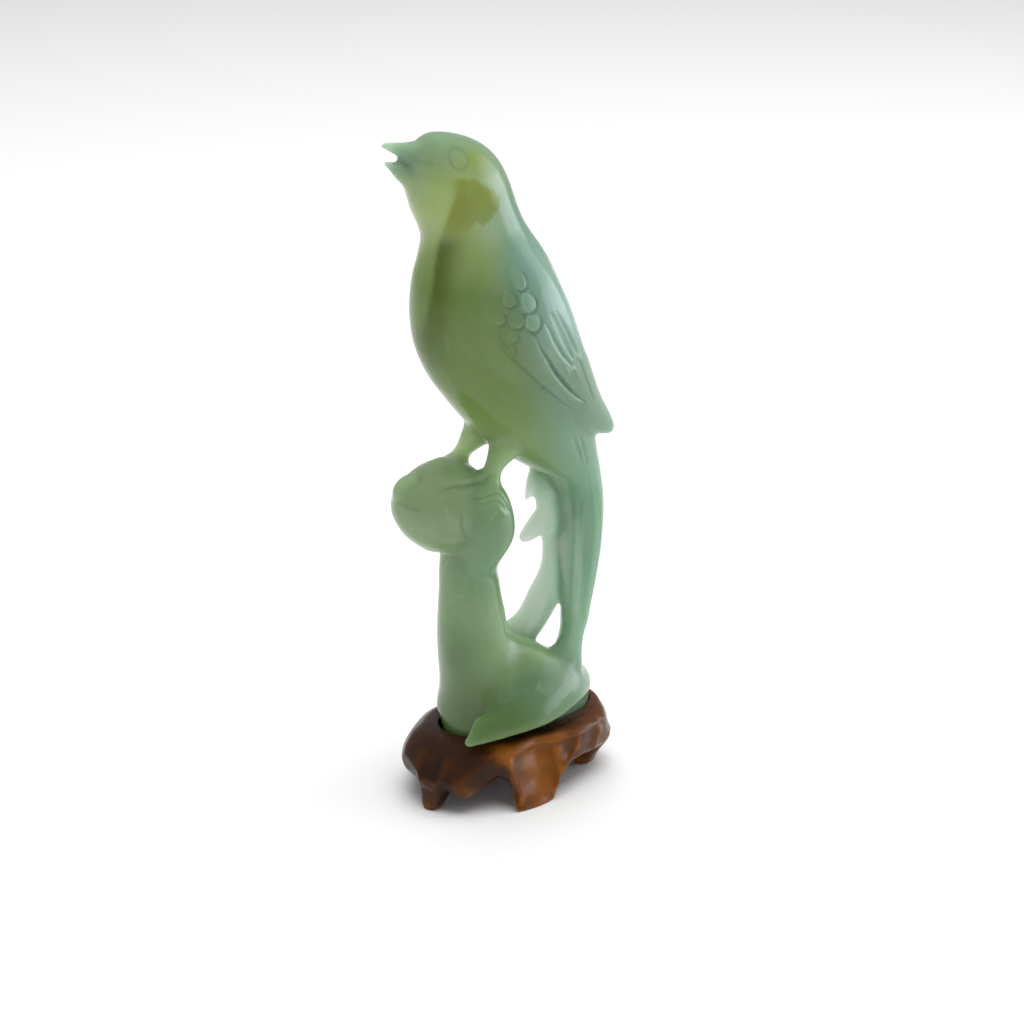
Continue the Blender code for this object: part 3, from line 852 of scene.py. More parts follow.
@dataclass(frozen=True)
class Limb:
    """A part of the carving that follows a centre line.

    Each station is x, y, z, half the width across the line, half the thickness, and the
    direction in degrees that the thickness faces, from 0 at -Y to 90 at +X. The lean turns the
    face upwards, the colour is the stone's colour there, and a mirrored limb has a twin on the
    right side.
    """

    name: str
    stations: Rows
    colour: Colour
    lean: float = 0.0
    mirrored: bool = False

    def rows(self) -> np.ndarray:
        """The filled-in stations."""
        return smooth_rows(self.stations)

    def both(self) -> list["Limb"]:
        """The limb, and its mirror image on the right side if it has one."""
        if not self.mirrored:
            return [self]
        twin = tuple(
            (x, -y, z, wide, thick, 180 - face) for x, y, z, wide, thick, face in self.stations
        )
        return [self, Limb(self.name + "_right", twin, self.colour, self.lean)]

    def rings(self, around: int) -> np.ndarray:
        """Rings square to the centre line.

        Args:
            around: How many points each ring has.

        Returns:
            Points c + w cos(a) side + t sin(a) outward for each station c, where outward is the
            facing made square to the line's direction and side is square to both.
        """
        rows = self.rows()
        centres = rows[:, :3]
        along = unit_rows(np.gradient(centres, axis=0))
        facing = np.radians(rows[:, 5])
        level, rise = math.cos(math.radians(self.lean)), math.sin(math.radians(self.lean))
        outward = np.column_stack((
            level * np.sin(facing), -level * np.cos(facing), np.full(len(rows), rise),
        ))
        outward = unit_rows(outward - along * np.sum(along * outward, axis=1, keepdims=True))
        side = np.cross(along, outward)
        return ellipses(centres, side * rows[:, 3:4], outward * rows[:, 4:5], around)


def ellipses(centres: np.ndarray, across: np.ndarray, through: np.ndarray, around: int) -> np.ndarray:
    """Rings of points c + across cos(a) + through sin(a) about each centre."""
    angle = np.linspace(0.0, 2 * math.pi, around, endpoint=False)
    return (
        centres[:, None, :]
        + across[:, None, :] * np.cos(angle)[None, :, None]
        + through[:, None, :] * np.sin(angle)[None, :, None]
    )


@dataclass(frozen=True)
class Plan:
    """The foot of the stone, a rounded oval in plan, and where it stands."""

    length: float = 51.2
    width: float = 27.6
    turn: float = math.radians(14)
    centre: tuple[float, float] = (5.785, 3.0)
    squareness: float = 2.3

    def radius(self, angle: np.ndarray, margin: float = 0.0) -> np.ndarray:
        """Distance from the middle to the oval in each direction, widened by a margin.

        Args:
            angle: Directions in radians.
            margin: How much wider the oval is.

        Returns:
            (|cos a / half length|^n + |sin a / half width|^n)^(-1/n), for a turned direction a.
        """
        turned = angle - self.turn
        n = self.squareness
        along = np.abs(np.cos(turned)) / (self.length / 2 + margin)
        across = np.abs(np.sin(turned)) / (self.width / 2 + margin)
        return (along**n + across**n) ** (-1 / n)

    def share(self, points: np.ndarray) -> np.ndarray:
        """How far out each point is in plan: 1 on the oval, less inside it."""
        off = points[:, :2] - np.array(self.centre)
        return np.hypot(off[:, 0], off[:, 1]) / self.radius(np.arctan2(off[:, 1], off[:, 0]))


# The stone's ground colours
CROWN = linear(110, 138, 110)
HEAD = linear(124, 148, 110)
THROAT = linear(164, 182, 112)
BODY = linear(110, 136, 70)
# a painted grey sheen along the breast's left edge
BREAST_RIM_SHEEN = linear(142, 154, 128)
BACK = linear(112, 144, 118)
BELLY = linear(116, 144, 80)
TAIL = linear(122, 160, 132)
PLUME = linear(146, 174, 150)
STUMP = linear(127, 157, 112)
BURL_GREEN = linear(130, 153, 112)
KNOB_GREEN = linear(110, 145, 108)
LEG = linear(186, 202, 160)
LEG_FRONT = linear(146, 172, 124)
# the side branch and its leaflets: pale stone, lightened further as painted light over the shadow of
# the tail
PALE_LIT_BRANCH = linear(204, 216, 204)
LEAF_GREEN = linear(95, 129, 94)
FOOT_GREEN = linear(82, 106, 50)
OLIVE = linear(128, 140, 6)
CHEEK_GREEN = linear(130, 142, 46)
DARK_OLIVE = linear(82, 98, 8)


# a stain lays on the stone's own clouds of colour, and also painted light and painted reflection
@dataclass(frozen=True)
class Stain:
    """A soft cloud of another colour in the stone; a mirrored one is on both sides."""

    centre: Place
    radius: float
    colour: Colour
    share: float
    mirrored: bool = True

    def weight(self, points: np.ndarray) -> np.ndarray:
        """Its share of the colour at each point, which falls off from its centre in a bell curve."""
        return self.share * bell(gap_to(points, self.centre, self.mirrored), self.radius)


STAINS: Sequence[Stain] = (
    # painted bluish reflection of the window light on the shoulder and the wing's upper half, olive
    # behind the eye, paler at the bill as painted light over the shade under its root, and greyer at
    # the bill
    Stain((6.0, -16.0, 150.0), 13.0, linear(124, 160, 150), 0.6),
    Stain((13.0, -13.0, 131.0), 11.0, linear(150, 182, 176), 0.75),
    Stain((-10.4, -11.0, 177.4), 4.6, OLIVE, 0.75),
    Stain((-27.0, -3.0, 174.6), 5.0, linear(150, 174, 136), 0.5),
    Stain((-30.0, 0.0, 178.0), 6.0, linear(120, 144, 130), 0.8),
    # painted light under the belly and at the root of the tail, over the shade there; deeper on the
    # left of the trunk
    Stain((-9.0, -3.0, 98.0), 8.0, linear(138, 164, 98), 0.6, False),
    Stain((17.0, 3.0, 84.0), 7.0, linear(150, 180, 146), 0.6, False),
    Stain((-18.0, -4.0, 28.0), 10.0, linear(92, 122, 78), 0.8, False),
    # pale where the legs run into the belly, partly the legs' own pale stone and partly painted light
    # over the shade between legs and stump, and a painted bluish reflection at the end of the leaf
    Stain((-2.0, -6.0, 91.0), 7.0, linear(150, 176, 128), 0.35, False),
    Stain((-7.0, 4.0, 91.0), 6.0, LEG, 0.6, False),
    Stain((25.0, -4.0, 15.0), 8.0, linear(134, 160, 150), 0.5, False),
    # a milky cloud round the back of the olive patch, partly the stone's own and partly a painted
    # sheen of the window light, and painted light on the right of the trunk
    Stain((-6.6, -11.0, 172.6), 5.2, linear(176, 196, 192), 0.25),
    Stain((-4.0, -12.0, 163.6), 4.6, linear(170, 192, 190), 0.2),
    Stain((-8.5, -12.0, 157.6), 4.0, linear(170, 190, 176), 0.35),
    Stain((3.0, -2.0, 38.0), 8.0, linear(166, 192, 160), 0.7, False),
    # deeper down the left edge of the breast
    Stain((-25.5, -2.0, 121.0), 8.0, linear(88, 106, 40), 0.7),
    Stain((-21.0, -4.0, 111.0), 8.0, linear(96, 118, 52), 0.5),
)

# The olive patch behind the cheek: its outline (x, z), and the band that runs down from it along
# the breast: height, middle x, half breadth
CHEEK: Rows = (
    (-21.0, 172.6), (-15.8, 172.9), (-12.7, 172.4), (-10.4, 170.6), (-6.4, 168.5), (-4.2, 165.8),
    (-5.2, 163.8), (-8.0, 161.4), (-10.2, 159.6), (-12.4, 161.0), (-14.5, 157.5), (-21.0, 153.0),
)
BAND = np.array((
    (100.0, -23.0, 3.0), (125.0, -25.0, 2.2), (135.0, -24.2, 1.9), (146.6, -21.9, 1.7),
    (150.8, -21.0, 1.8), (156.3, -20.0, 2.1), (160.8, -19.4, 2.6), (165.7, -18.4, 2.8),
    (173.0, -16.4, 2.6),
))

# The bird in profile, from the root of the bill to the end of the tail: the throat and breast
# side (x, z), the crown and back side (x, z), and half the breadth.
BIRD_PROFILE: Rows = (
    (-28.2, 172.8, -27.0, 181.2, 3.4),
    (-28.0, 169.4, -23.6, 181.8, 6.4),
    (-26.8, 165.8, -18.6, 183.9, 9.6),
    (-25.5, 161.4, -8.6, 181.6, 12.2),
    (-23.7, 157.3, -1.2, 176.2, 12.6),
    (-22.6, 153.0, 3.8, 166.8, 12.8),
    (-23.4, 147.6, 7.4, 157.4, 14.6),
    (-25.4, 140.0, 14.2, 147.6, 17.2),
    (-26.0, 131.0, 19.6, 136.0, 18.8),
    (-24.8, 122.0, 23.8, 123.8, 19.2),
    (-21.0, 113.0, 26.8, 111.5, 18.4),
    (-15.4, 105.0, 28.6, 100.5, 16.6),
    (-9.4, 97.6, 30.2, 92.5, 14.2),
    (-1.5, 89.6, 31.8, 84.5, 11.6),
    (7.7, 83.2, 33.1, 78.0, 9.4),
    (16.5, 78.0, 33.9, 71.8, 8.0),
    (21.4, 69.0, 34.1, 65.5, 7.2),
    (23.0, 58.5, 33.6, 56.0, 6.5),
    (22.6, 50.5, 32.4, 47.0, 6.0),
    (21.8, 38.0, 30.2, 35.8, 5.6),
    (21.4, 27.4, 28.2, 24.5, 5.4),
    (18.8, 17.4, 27.0, 14.0, 6.4),
    (15.0, 9.0, 26.6, 7.0, 7.0),
)

# The stone's colour down the bird: height, colour on the breast side, colour on the back side
BIRD_COLOURS: Sequence[tuple[float, Colour, Colour]] = (
    (10.0, TAIL, TAIL),
    (70.0, TAIL, TAIL),
    (92.0, BELLY, TAIL),
    (110.0, BODY, BACK),
    (140.0, BODY, BACK),
    (160.0, THROAT, BACK),
    (171.0, THROAT, HEAD),
    (179.0, HEAD, CROWN),
    (184.0, CROWN, CROWN),
)
# Where the colour of the breast turns into that of the back: height and x of the middle, and how
# far to either side the turn reaches
COLOUR_TURN = np.array((
    (10, 30), (70, 26), (92, 10), (110, 4), (140, -2), (160, -6), (184, -10),
))
COLOUR_TURN_REACH = 9.0

LIMBS: Sequence[Limb] = (
    Limb("upper_bill", (
        (-35.4, 0, 181.6, 0.8, 0.9, 0),
        (-33.6, 0, 181.3, 1.2, 1.2, 0),
        (-31.6, 0, 180.7, 1.6, 1.7, 0),
        (-29.8, 0, 180.1, 2.0, 2.4, 0),
        (-27.0, 0, 178.8, 3.3, 3.8, 0),
        (-22.0, 0, 177.0, 5.6, 5.8, 0),
    ), HEAD),
    Limb("lower_bill", (
        (-35.0, 0, 177.0, 0.6, 0.7, 0),
        (-33.0, 0, 176.0, 1.1, 1.3, 0),
        (-31.0, 0, 174.8, 1.8, 2.2, 0),
        (-29.2, 0, 173.5, 2.5, 3.2, 0),
        (-26.6, 0, 172.6, 4.2, 4.8, 0),
        (-22.0, 0, 171.0, 7.0, 6.8, 0),
    ), HEAD),
    Limb("wing", (
        (0.0, -12.4, 150.0, 5.0, 3.0, 10),
        (2.2, -14.2, 142.0, 9.4, 4.4, 15),
        (6.4, -14.8, 131.0, 12.0, 5.0, 20),
        (12.2, -13.6, 119.5, 11.4, 4.8, 26),
        (19.0, -11.2, 109.0, 9.0, 4.2, 34),
        (25.6, -8.4, 100.3, 6.4, 3.4, 42),
        (31.6, -5.6, 94.4, 3.9, 2.6, 50),
        (34.9, -3.6, 91.2, 1.9, 1.8, 56),
    ), BACK, mirrored=True),
    Limb("left_leg", (
        (3.6, -5.0, 97.0, 8.0, 6.0, 0),
        (-1.2, -6.0, 90.5, 4.6, 4.0, 0),
        (-4.0, -6.6, 86.6, 2.8, 3.0, 0),
        (-5.4, -7.0, 84.0, 2.9, 3.2, 0),
        (-6.8, -7.0, 81.0, 4.6, 4.6, 0),
        (-8.0, -7.0, 77.0, 6.0, 6.0, 0),
    ), LEG_FRONT),
    Limb("right_leg", (
        (-1.0, 4.0, 97.0, 7.5, 6.0, 0),
        (-5.4, 4.6, 91.8, 4.2, 4.0, 0),
        (-8.3, 5.0, 88.2, 2.5, 2.8, 0),
        (-9.8, 5.0, 86.0, 3.0, 3.2, 0),
        (-12.0, 5.0, 83.0, 5.4, 5.0, 0),
        (-14.0, 4.6, 79.0, 7.0, 6.0, 0),
    ), LEG),
    Limb("burl", (
        (-31.6, 0.0, 80.6, 1.4, 2.0, 0),
        (-30.2, 0.0, 79.6, 5.0, 5.4, 0),
        (-27.4, 0.0, 77.8, 9.2, 9.0, 0),
        (-23.4, 0.0, 76.0, 12.4, 11.3, 0),
        (-18.0, 0.0, 74.2, 14.2, 12.4, 0),
        (-12.0, -0.5, 72.0, 12.8, 12.2, 0),
        (-6.0, -1.0, 69.4, 9.8, 10.6, 0),
        (-1.6, -1.0, 68.0, 6.0, 7.6, 0),
    ), BURL_GREEN),
    Limb("burl_lip", (
        (-32.8, -0.6, 78.2, 0.7, 1.6, 0),
        (-32.0, -0.6, 79.6, 1.5, 3.0, 0),
        (-29.6, -0.6, 81.6, 2.4, 4.4, 0),
        (-26.0, -0.6, 82.4, 3.0, 5.0, 0),
    ), BURL_GREEN),
    Limb("knob", (
        (-8.6, -6.6, 82.6, 2.2, 3.0, 0),
        (-8.0, -7.0, 79.8, 5.6, 5.4, 0),
        (-7.6, -7.4, 75.0, 7.6, 7.2, 0),
        (-7.2, -7.4, 69.0, 8.4, 8.2, 0),
        (-7.4, -6.8, 64.4, 8.0, 8.0, 0),
        (-8.0, -5.6, 60.0, 6.8, 7.0, 0),
        (-8.8, -3.6, 55.0, 6.0, 6.2, 0),
        (-9.0, -2.0, 50.0, 6.0, 6.0, 0),
    ), KNOB_GREEN),
    Limb("trunk", (
        (-10.0, 0.0, 72.0, 8.0, 8.6, 0),
        (-9.6, 0.0, 60.0, 8.2, 8.4, 0),
        (-9.4, 0.0, 52.0, 8.8, 8.6, 0),
        (-9.0, 0.2, 45.0, 9.3, 9.0, 0),
        (-8.2, 0.6, 36.0, 10.4, 10.0, 0),
        (-7.0, 1.0, 27.0, 11.1, 11.8, 0),
        (-5.2, 1.4, 18.0, 12.0, 13.4, 0),
        (-4.2, 1.6, 13.5, 13.4, 14.2, 0),
        (-3.4, 1.6, 9.0, 15.2, 14.8, 0),
        (-3.2, 1.6, 5.5, 14.4, 13.6, 0),
    ), STUMP),
    Limb("mound", (
        (-13.0, 3.0, 9.4, 3.8, 9.4, 0),
        (-8.0, 3.0, 11.0, 6.4, 14.0, 0),
        (0.0, 3.2, 13.4, 8.6, 15.6, 0),
        (10.0, 3.6, 14.4, 9.6, 14.8, 0),
        (19.0, 4.2, 12.6, 7.6, 11.6, 0),
        (25.6, 5.0, 10.4, 5.6, 8.4, 0),
        (29.4, 5.6, 8.4, 3.4, 5.0, 0),
    ), STUMP),
    Limb("root_flare", (
        (-5.0, -0.6, 27.0, 7.0, 9.0, 0),
        (3.0, -1.5, 23.8, 7.2, 7.2, 0),
        (10.0, -2.5, 20.9, 6.8, 6.6, 0),
        (16.0, -3.0, 17.2, 5.2, 5.6, 0),
        (21.0, -3.0, 15.6, 4.4, 5.0, 0),
    ), STUMP),
    Limb("leaf", (
        (-19.4, -17.6, 5.4, 0.9, 0.9, -14),
        (-16.8, -17.6, 6.6, 2.2, 1.5, -10),
        (-12.4, -16.8, 8.6, 4.2, 2.2, -4),
        (-4.4, -15.0, 11.6, 7.2, 2.8, 4),
        (5.0, -12.0, 14.0, 9.4, 3.4, 12),
        (14.0, -8.2, 15.0, 9.6, 3.6, 24),
        (21.6, -4.2, 13.6, 7.6, 3.8, 40),
        (27.4, 1.0, 11.2, 5.4, 3.2, 58),
        (30.2, 6.6, 10.0, 3.8, 2.8, 84),
        (29.4, 12.0, 9.6, 1.7, 1.6, 112),
    ), LEAF_GREEN, lean=34.0),
    Limb("side_branch", (
        (16.0, 5.4, 90.0, 6.0, 5.0, 0),
        (18.6, 6.2, 80.0, 5.0, 3.8, 0),
        (19.8, 7.0, 72.0, 4.6, 3.2, 0),
        (22.0, 7.8, 62.0, 4.6, 3.1, 0),
        (22.9, 8.0, 52.0, 4.0, 3.1, 0),
        (22.2, 8.0, 44.0, 4.4, 3.2, 0),
        (19.4, 8.0, 36.8, 5.4, 3.4, 0),
        (15.0, 8.0, 29.6, 5.2, 3.4, 0),
        (9.6, 7.8, 25.0, 5.8, 4.0, 0),
        (4.0, 7.0, 23.0, 6.6, 5.0, 0),
    ), PALE_LIT_BRANCH),
    Limb("upper_leaflet", (
        (13.2, 8.0, 67.4, 0.6, 0.7, 0),
        (14.2, 8.0, 70.4, 1.5, 1.4, 0),
        (15.8, 7.8, 74.6, 2.2, 2.2, 0),
        (18.6, 7.4, 80.0, 3.4, 3.0, 0),
    ), PALE_LIT_BRANCH),
    Limb("lower_leaflet", (
        (11.2, 8.0, 55.3, 0.9, 0.8, 0),
        (12.8, 8.0, 56.4, 2.2, 1.6, 0),
        (16.2, 8.0, 59.0, 3.3, 2.3, 0),
        (21.4, 7.8, 63.4, 4.4, 2.8, 0),
    ), PALE_LIT_BRANCH),
    Limb("inner_plume", (
        (24.4, -0.4, 74.0, 1.8, 5.4, 0),
        (23.8, -0.4, 64.0, 2.0, 6.0, 0),
        (23.4, -0.6, 52.0, 2.0, 6.0, 0),
        (23.3, -1.6, 42.0, 2.1, 4.8, 0),
        (22.8, -2.0, 28.0, 2.0, 4.0, 0),
        (20.4, -1.0, 19.0, 3.2, 4.8, 0),
    ), PLUME),
)

WING_PLATES: Sequence[Plate] = (
    Plate((-4.8, 128.4), radius=1.8, rise=0.25, tilt=0.15),
    Plate((-8.0, 134.0), radius=1.8, rise=0.2, tilt=0.1),
    Plate((-3.4, 133.4), radius=2.3, rise=0.5, tilt=0.2),
    Plate((1.4, 132.4), radius=2.7, rise=0.45, tilt=0.8),
    Plate((-5.0, 139.2), radius=2.1, rise=0.35, tilt=0.35),
    Plate((0.4, 137.8), radius=2.7, rise=0.45, tilt=0.8),
    Plate((-1.9, 144.2), radius=2.3, rise=0.4, tilt=0.25, tall=1.8),
)

CUTS: Sequence[Union[Cut, Bevel, Trough, Spot]] = (
    # the wing: its lower edge, the long feathers' edges, and the ridge along its back
    Bevel(((-9.4, 128.0), (-6.1, 123.8), (-2.0, 120.0), (2.8, 114.9), (8.6, 109.6), (16.0, 103.6),
           (20.6, 99.4)), 0.5, 0.9),
    Cut(((-8.4, 129.8), (-7.2, 127.0), (-5.2, 125.0)), 0.12, 0.4, 0.15, 2.0, Side.BOTH),
    Bevel(((2.4, 127.0), (4.6, 123.6), (7.2, 120.2), (9.0, 117.4), (11.4, 114.4), (14.8, 110.4),
           (17.8, 107.2), (20.8, 104.6)), 1.2, 2.0),
    Bevel(((-0.6, 131.0), (2.0, 128.4), (3.2, 126.2)), 0.5, 0.9),
    Bevel(((-4.6, 126.6), (-3.4, 124.4), (-4.4, 122.6)), 0.4, 0.8),
    Trough(((7.6, 134.0), (10.2, 129.0), (12.8, 124.0), (15.4, 119.2)), 0.34, 1.5, Side.BOTH),
    Bevel(((4.6, 132.6), (7.0, 129.6), (9.4, 125.4), (11.8, 121.4), (14.8, 117.2)), 0.75, 1.8),
    Bevel(((9.4, 134.0), (12.8, 129.4), (15.4, 124.8), (17.6, 119.6)), 0.6, 1.4),
    Cut(((12.6, 116.4), (13.8, 115.2), (15.6, 116.0), (17.8, 112.4)),
        -0.28, 0.36, 0.15, 2.0, Side.BOTH),
    Cut(((4.2, 111.4), (6.4, 112.8), (9.4, 113.0)), 0.14, 0.4, 0.1, 1.5, Side.BOTH),
    Cut(((16.6, 119.0), (18.6, 116.6), (21.4, 110.8), (24.4, 104.4)),
        0.14, 0.6, 0.2, 2.5, Side.BOTH),
    Cut(((16.4, 101.4), (19.2, 98.4)), 0.15, 0.4, 0.0, 2.0, Side.BOTH),
    # the head: the eye in its ring, and the faint line behind the open bill
    Spot((-16.4, 178.0), 2.6, 0.12, 0.2),
    Cut(((-27.4, 177.5), (-25.2, 177.3), (-22.8, 177.1)), 0.14, 0.34, 0.0, 1.5, Side.BOTH),
    Cut(((-25.6, 176.9), (-23.4, 176.3)), 0.08, 0.34, 0.0, 1.5, Side.BOTH),
    # the tail's long feathers
    Bevel(((17.4, 95.4), (19.4, 92.2), (21.4, 88.4), (23.4, 83.0)), 0.6, 1.9),
    Bevel(((20.2, 94.6), (22.0, 91.4), (23.6, 87.6), (24.8, 83.0)), 0.5, 1.4),
    Bevel(((24.4, 81.5), (26.8, 73.0), (28.0, 62.0), (27.4, 50.0), (25.6, 40.0)), 0.22, 2.0, 0.6),
    Bevel(((27.6, 78.0), (30.4, 68.0), (30.8, 56.0), (29.4, 44.0), (27.2, 32.0)), 0.2, 1.6, 0.6),
    Cut(((24.4, 71.0), (24.0, 62.0), (23.6, 52.0), (23.0, 42.0)), 0.18, 0.5, 0.0, 2.0, Side.BOTH),
    # the folds of the stump's head
    Cut(((-31.0, 80.8), (-29.6, 82.2), (-26.1, 84.1), (-22.6, 85.8), (-17.0, 86.6)),
        0.3, 0.6, -0.3, 3.0, Side.BOTH),
    Cut(((-31.8, 77.8), (-30.4, 77.0), (-28.6, 77.2)), 0.3, 0.5, -0.2, 2.0, Side.BOTH),
    Cut(((-21.8, 82.2), (-18.6, 82.9), (-15.5, 82.7), (-12.4, 82.6), (-9.5, 82.9), (-6.5, 84.7)),
        0.26, 0.8, 0.6, 4.0),
    Cut(((-13.3, 78.5), (-10.5, 79.2), (-8.2, 79.7), (-6.1, 80.0), (-4.8, 78.7), (-3.3, 76.3),
         (-1.3, 74.2)), 0.28, 0.36, 0.2, 1.6),
    Cut(((-11.3, 77.4), (-8.1, 78.4), (-5.9, 77.5), (-4.4, 75.5)), 0.22, 0.36, 0.18, 1.5),
    Cut(((-10.4, 73.2), (-8.4, 75.0), (-6.6, 75.8), (-5.1, 74.4), (-3.7, 73.1)), -0.3, 0.6),
    Cut(((-17.4, 75.0), (-17.4, 71.7), (-15.7, 67.1)), 0.3, 0.55, 0.12, 2.5),
    Cut(((-22.1, 78.1), (-21.6, 79.6)), 0.15, 0.35),
    Cut(((-22.0, 85.4), (-19.8, 85.6)), 0.12, 0.4),
    # the leaf round the foot of the stump: the edge by its tip, and fine veins
    Cut(((-15.6, 8.4), (-14.2, 11.0), (-12.6, 13.4)), -0.25, 0.5),
    Cut(((4.5, 16.5), (7.2, 18.0)), -0.12, 0.4),
    Cut(((14.2, 12.2), (18.9, 13.4)), -0.12, 0.4),
)


@dataclass(frozen=True)
class Blend:
    """A ball in which the stone is worn soft, so that limbs run into each other."""

    centre: Place
    radius: float
    strength: float = 1.0
    mirrored: bool = False

    def weight(self, points: np.ndarray) -> np.ndarray:
        """How soft each point gets: the strength in the middle, eased to 0 at the radius."""
        gap = gap_to(points, self.centre, self.mirrored)
        return self.strength * (1 - ease(gap / self.radius, 0.35, 1.0))


# Shoulders and wings, then the stump, its leaf and foot, both ends of the legs, the root of the
# tail and the joints of the side branch
BLENDS: Sequence[Blend] = (
    Blend((4.0, -14.0, 147.0), 16.0, mirrored=True),
    Blend((9.0, -9.0, 150.0), 13.0, mirrored=True),
    Blend((3.0, -6.0, 160.0), 10.0, 0.7, mirrored=True),
    Blend((-4.0, -16.0, 130.0), 10.0, 0.7, mirrored=True),
    Blend((12.0, -14.0, 104.0), 10.0, 0.8, mirrored=True),
    Blend((15.0, -10.0, 138.0), 14.0, mirrored=True),
    Blend((20.0, -9.0, 125.0), 11.0, 0.8, mirrored=True),
    Blend((6.0, -4.0, 28.0), 9.0),
    Blend((4.0, -4.0, 32.0), 8.0),
    Blend((-1.5, -6.0, 58.0), 10.0),
    Blend((-12.0, -4.0, 66.0), 8.0, 0.6),
    Blend((4.0, -3.0, 20.0), 13.0),
    Blend((-8.0, -12.0, 17.0), 9.0),
    Blend((-1.0, -11.0, 22.0), 11.0),
    Blend((9.0, -9.0, 24.0), 11.0),
    Blend((17.0, -6.0, 24.0), 9.0),
    Blend((-14.0, -3.0, 13.0), 11.0),
    Blend((22.0, -4.0, 25.0), 10.0),
    Blend((-8.0, 3.0, 5.0), 13.0, 0.8),
    Blend((-8.0, -7.0, 81.0), 6.0),
    Blend((-13.0, 5.0, 84.0), 6.0),
    Blend((0.0, -6.0, 96.0), 7.0),
    Blend((-4.0, 5.0, 96.0), 6.0),
    Blend((16.0, 4.0, 86.0), 8.0),
    Blend((24.0, -4.0, 72.0), 7.0, 0.8),
    Blend((23.0, 1.0, 66.0), 6.0, 0.6),
    Blend((23.4, 1.5, 54.0), 6.0, 0.6),
    Blend((22.0, 2.0, 42.0), 6.0, 0.6),
)


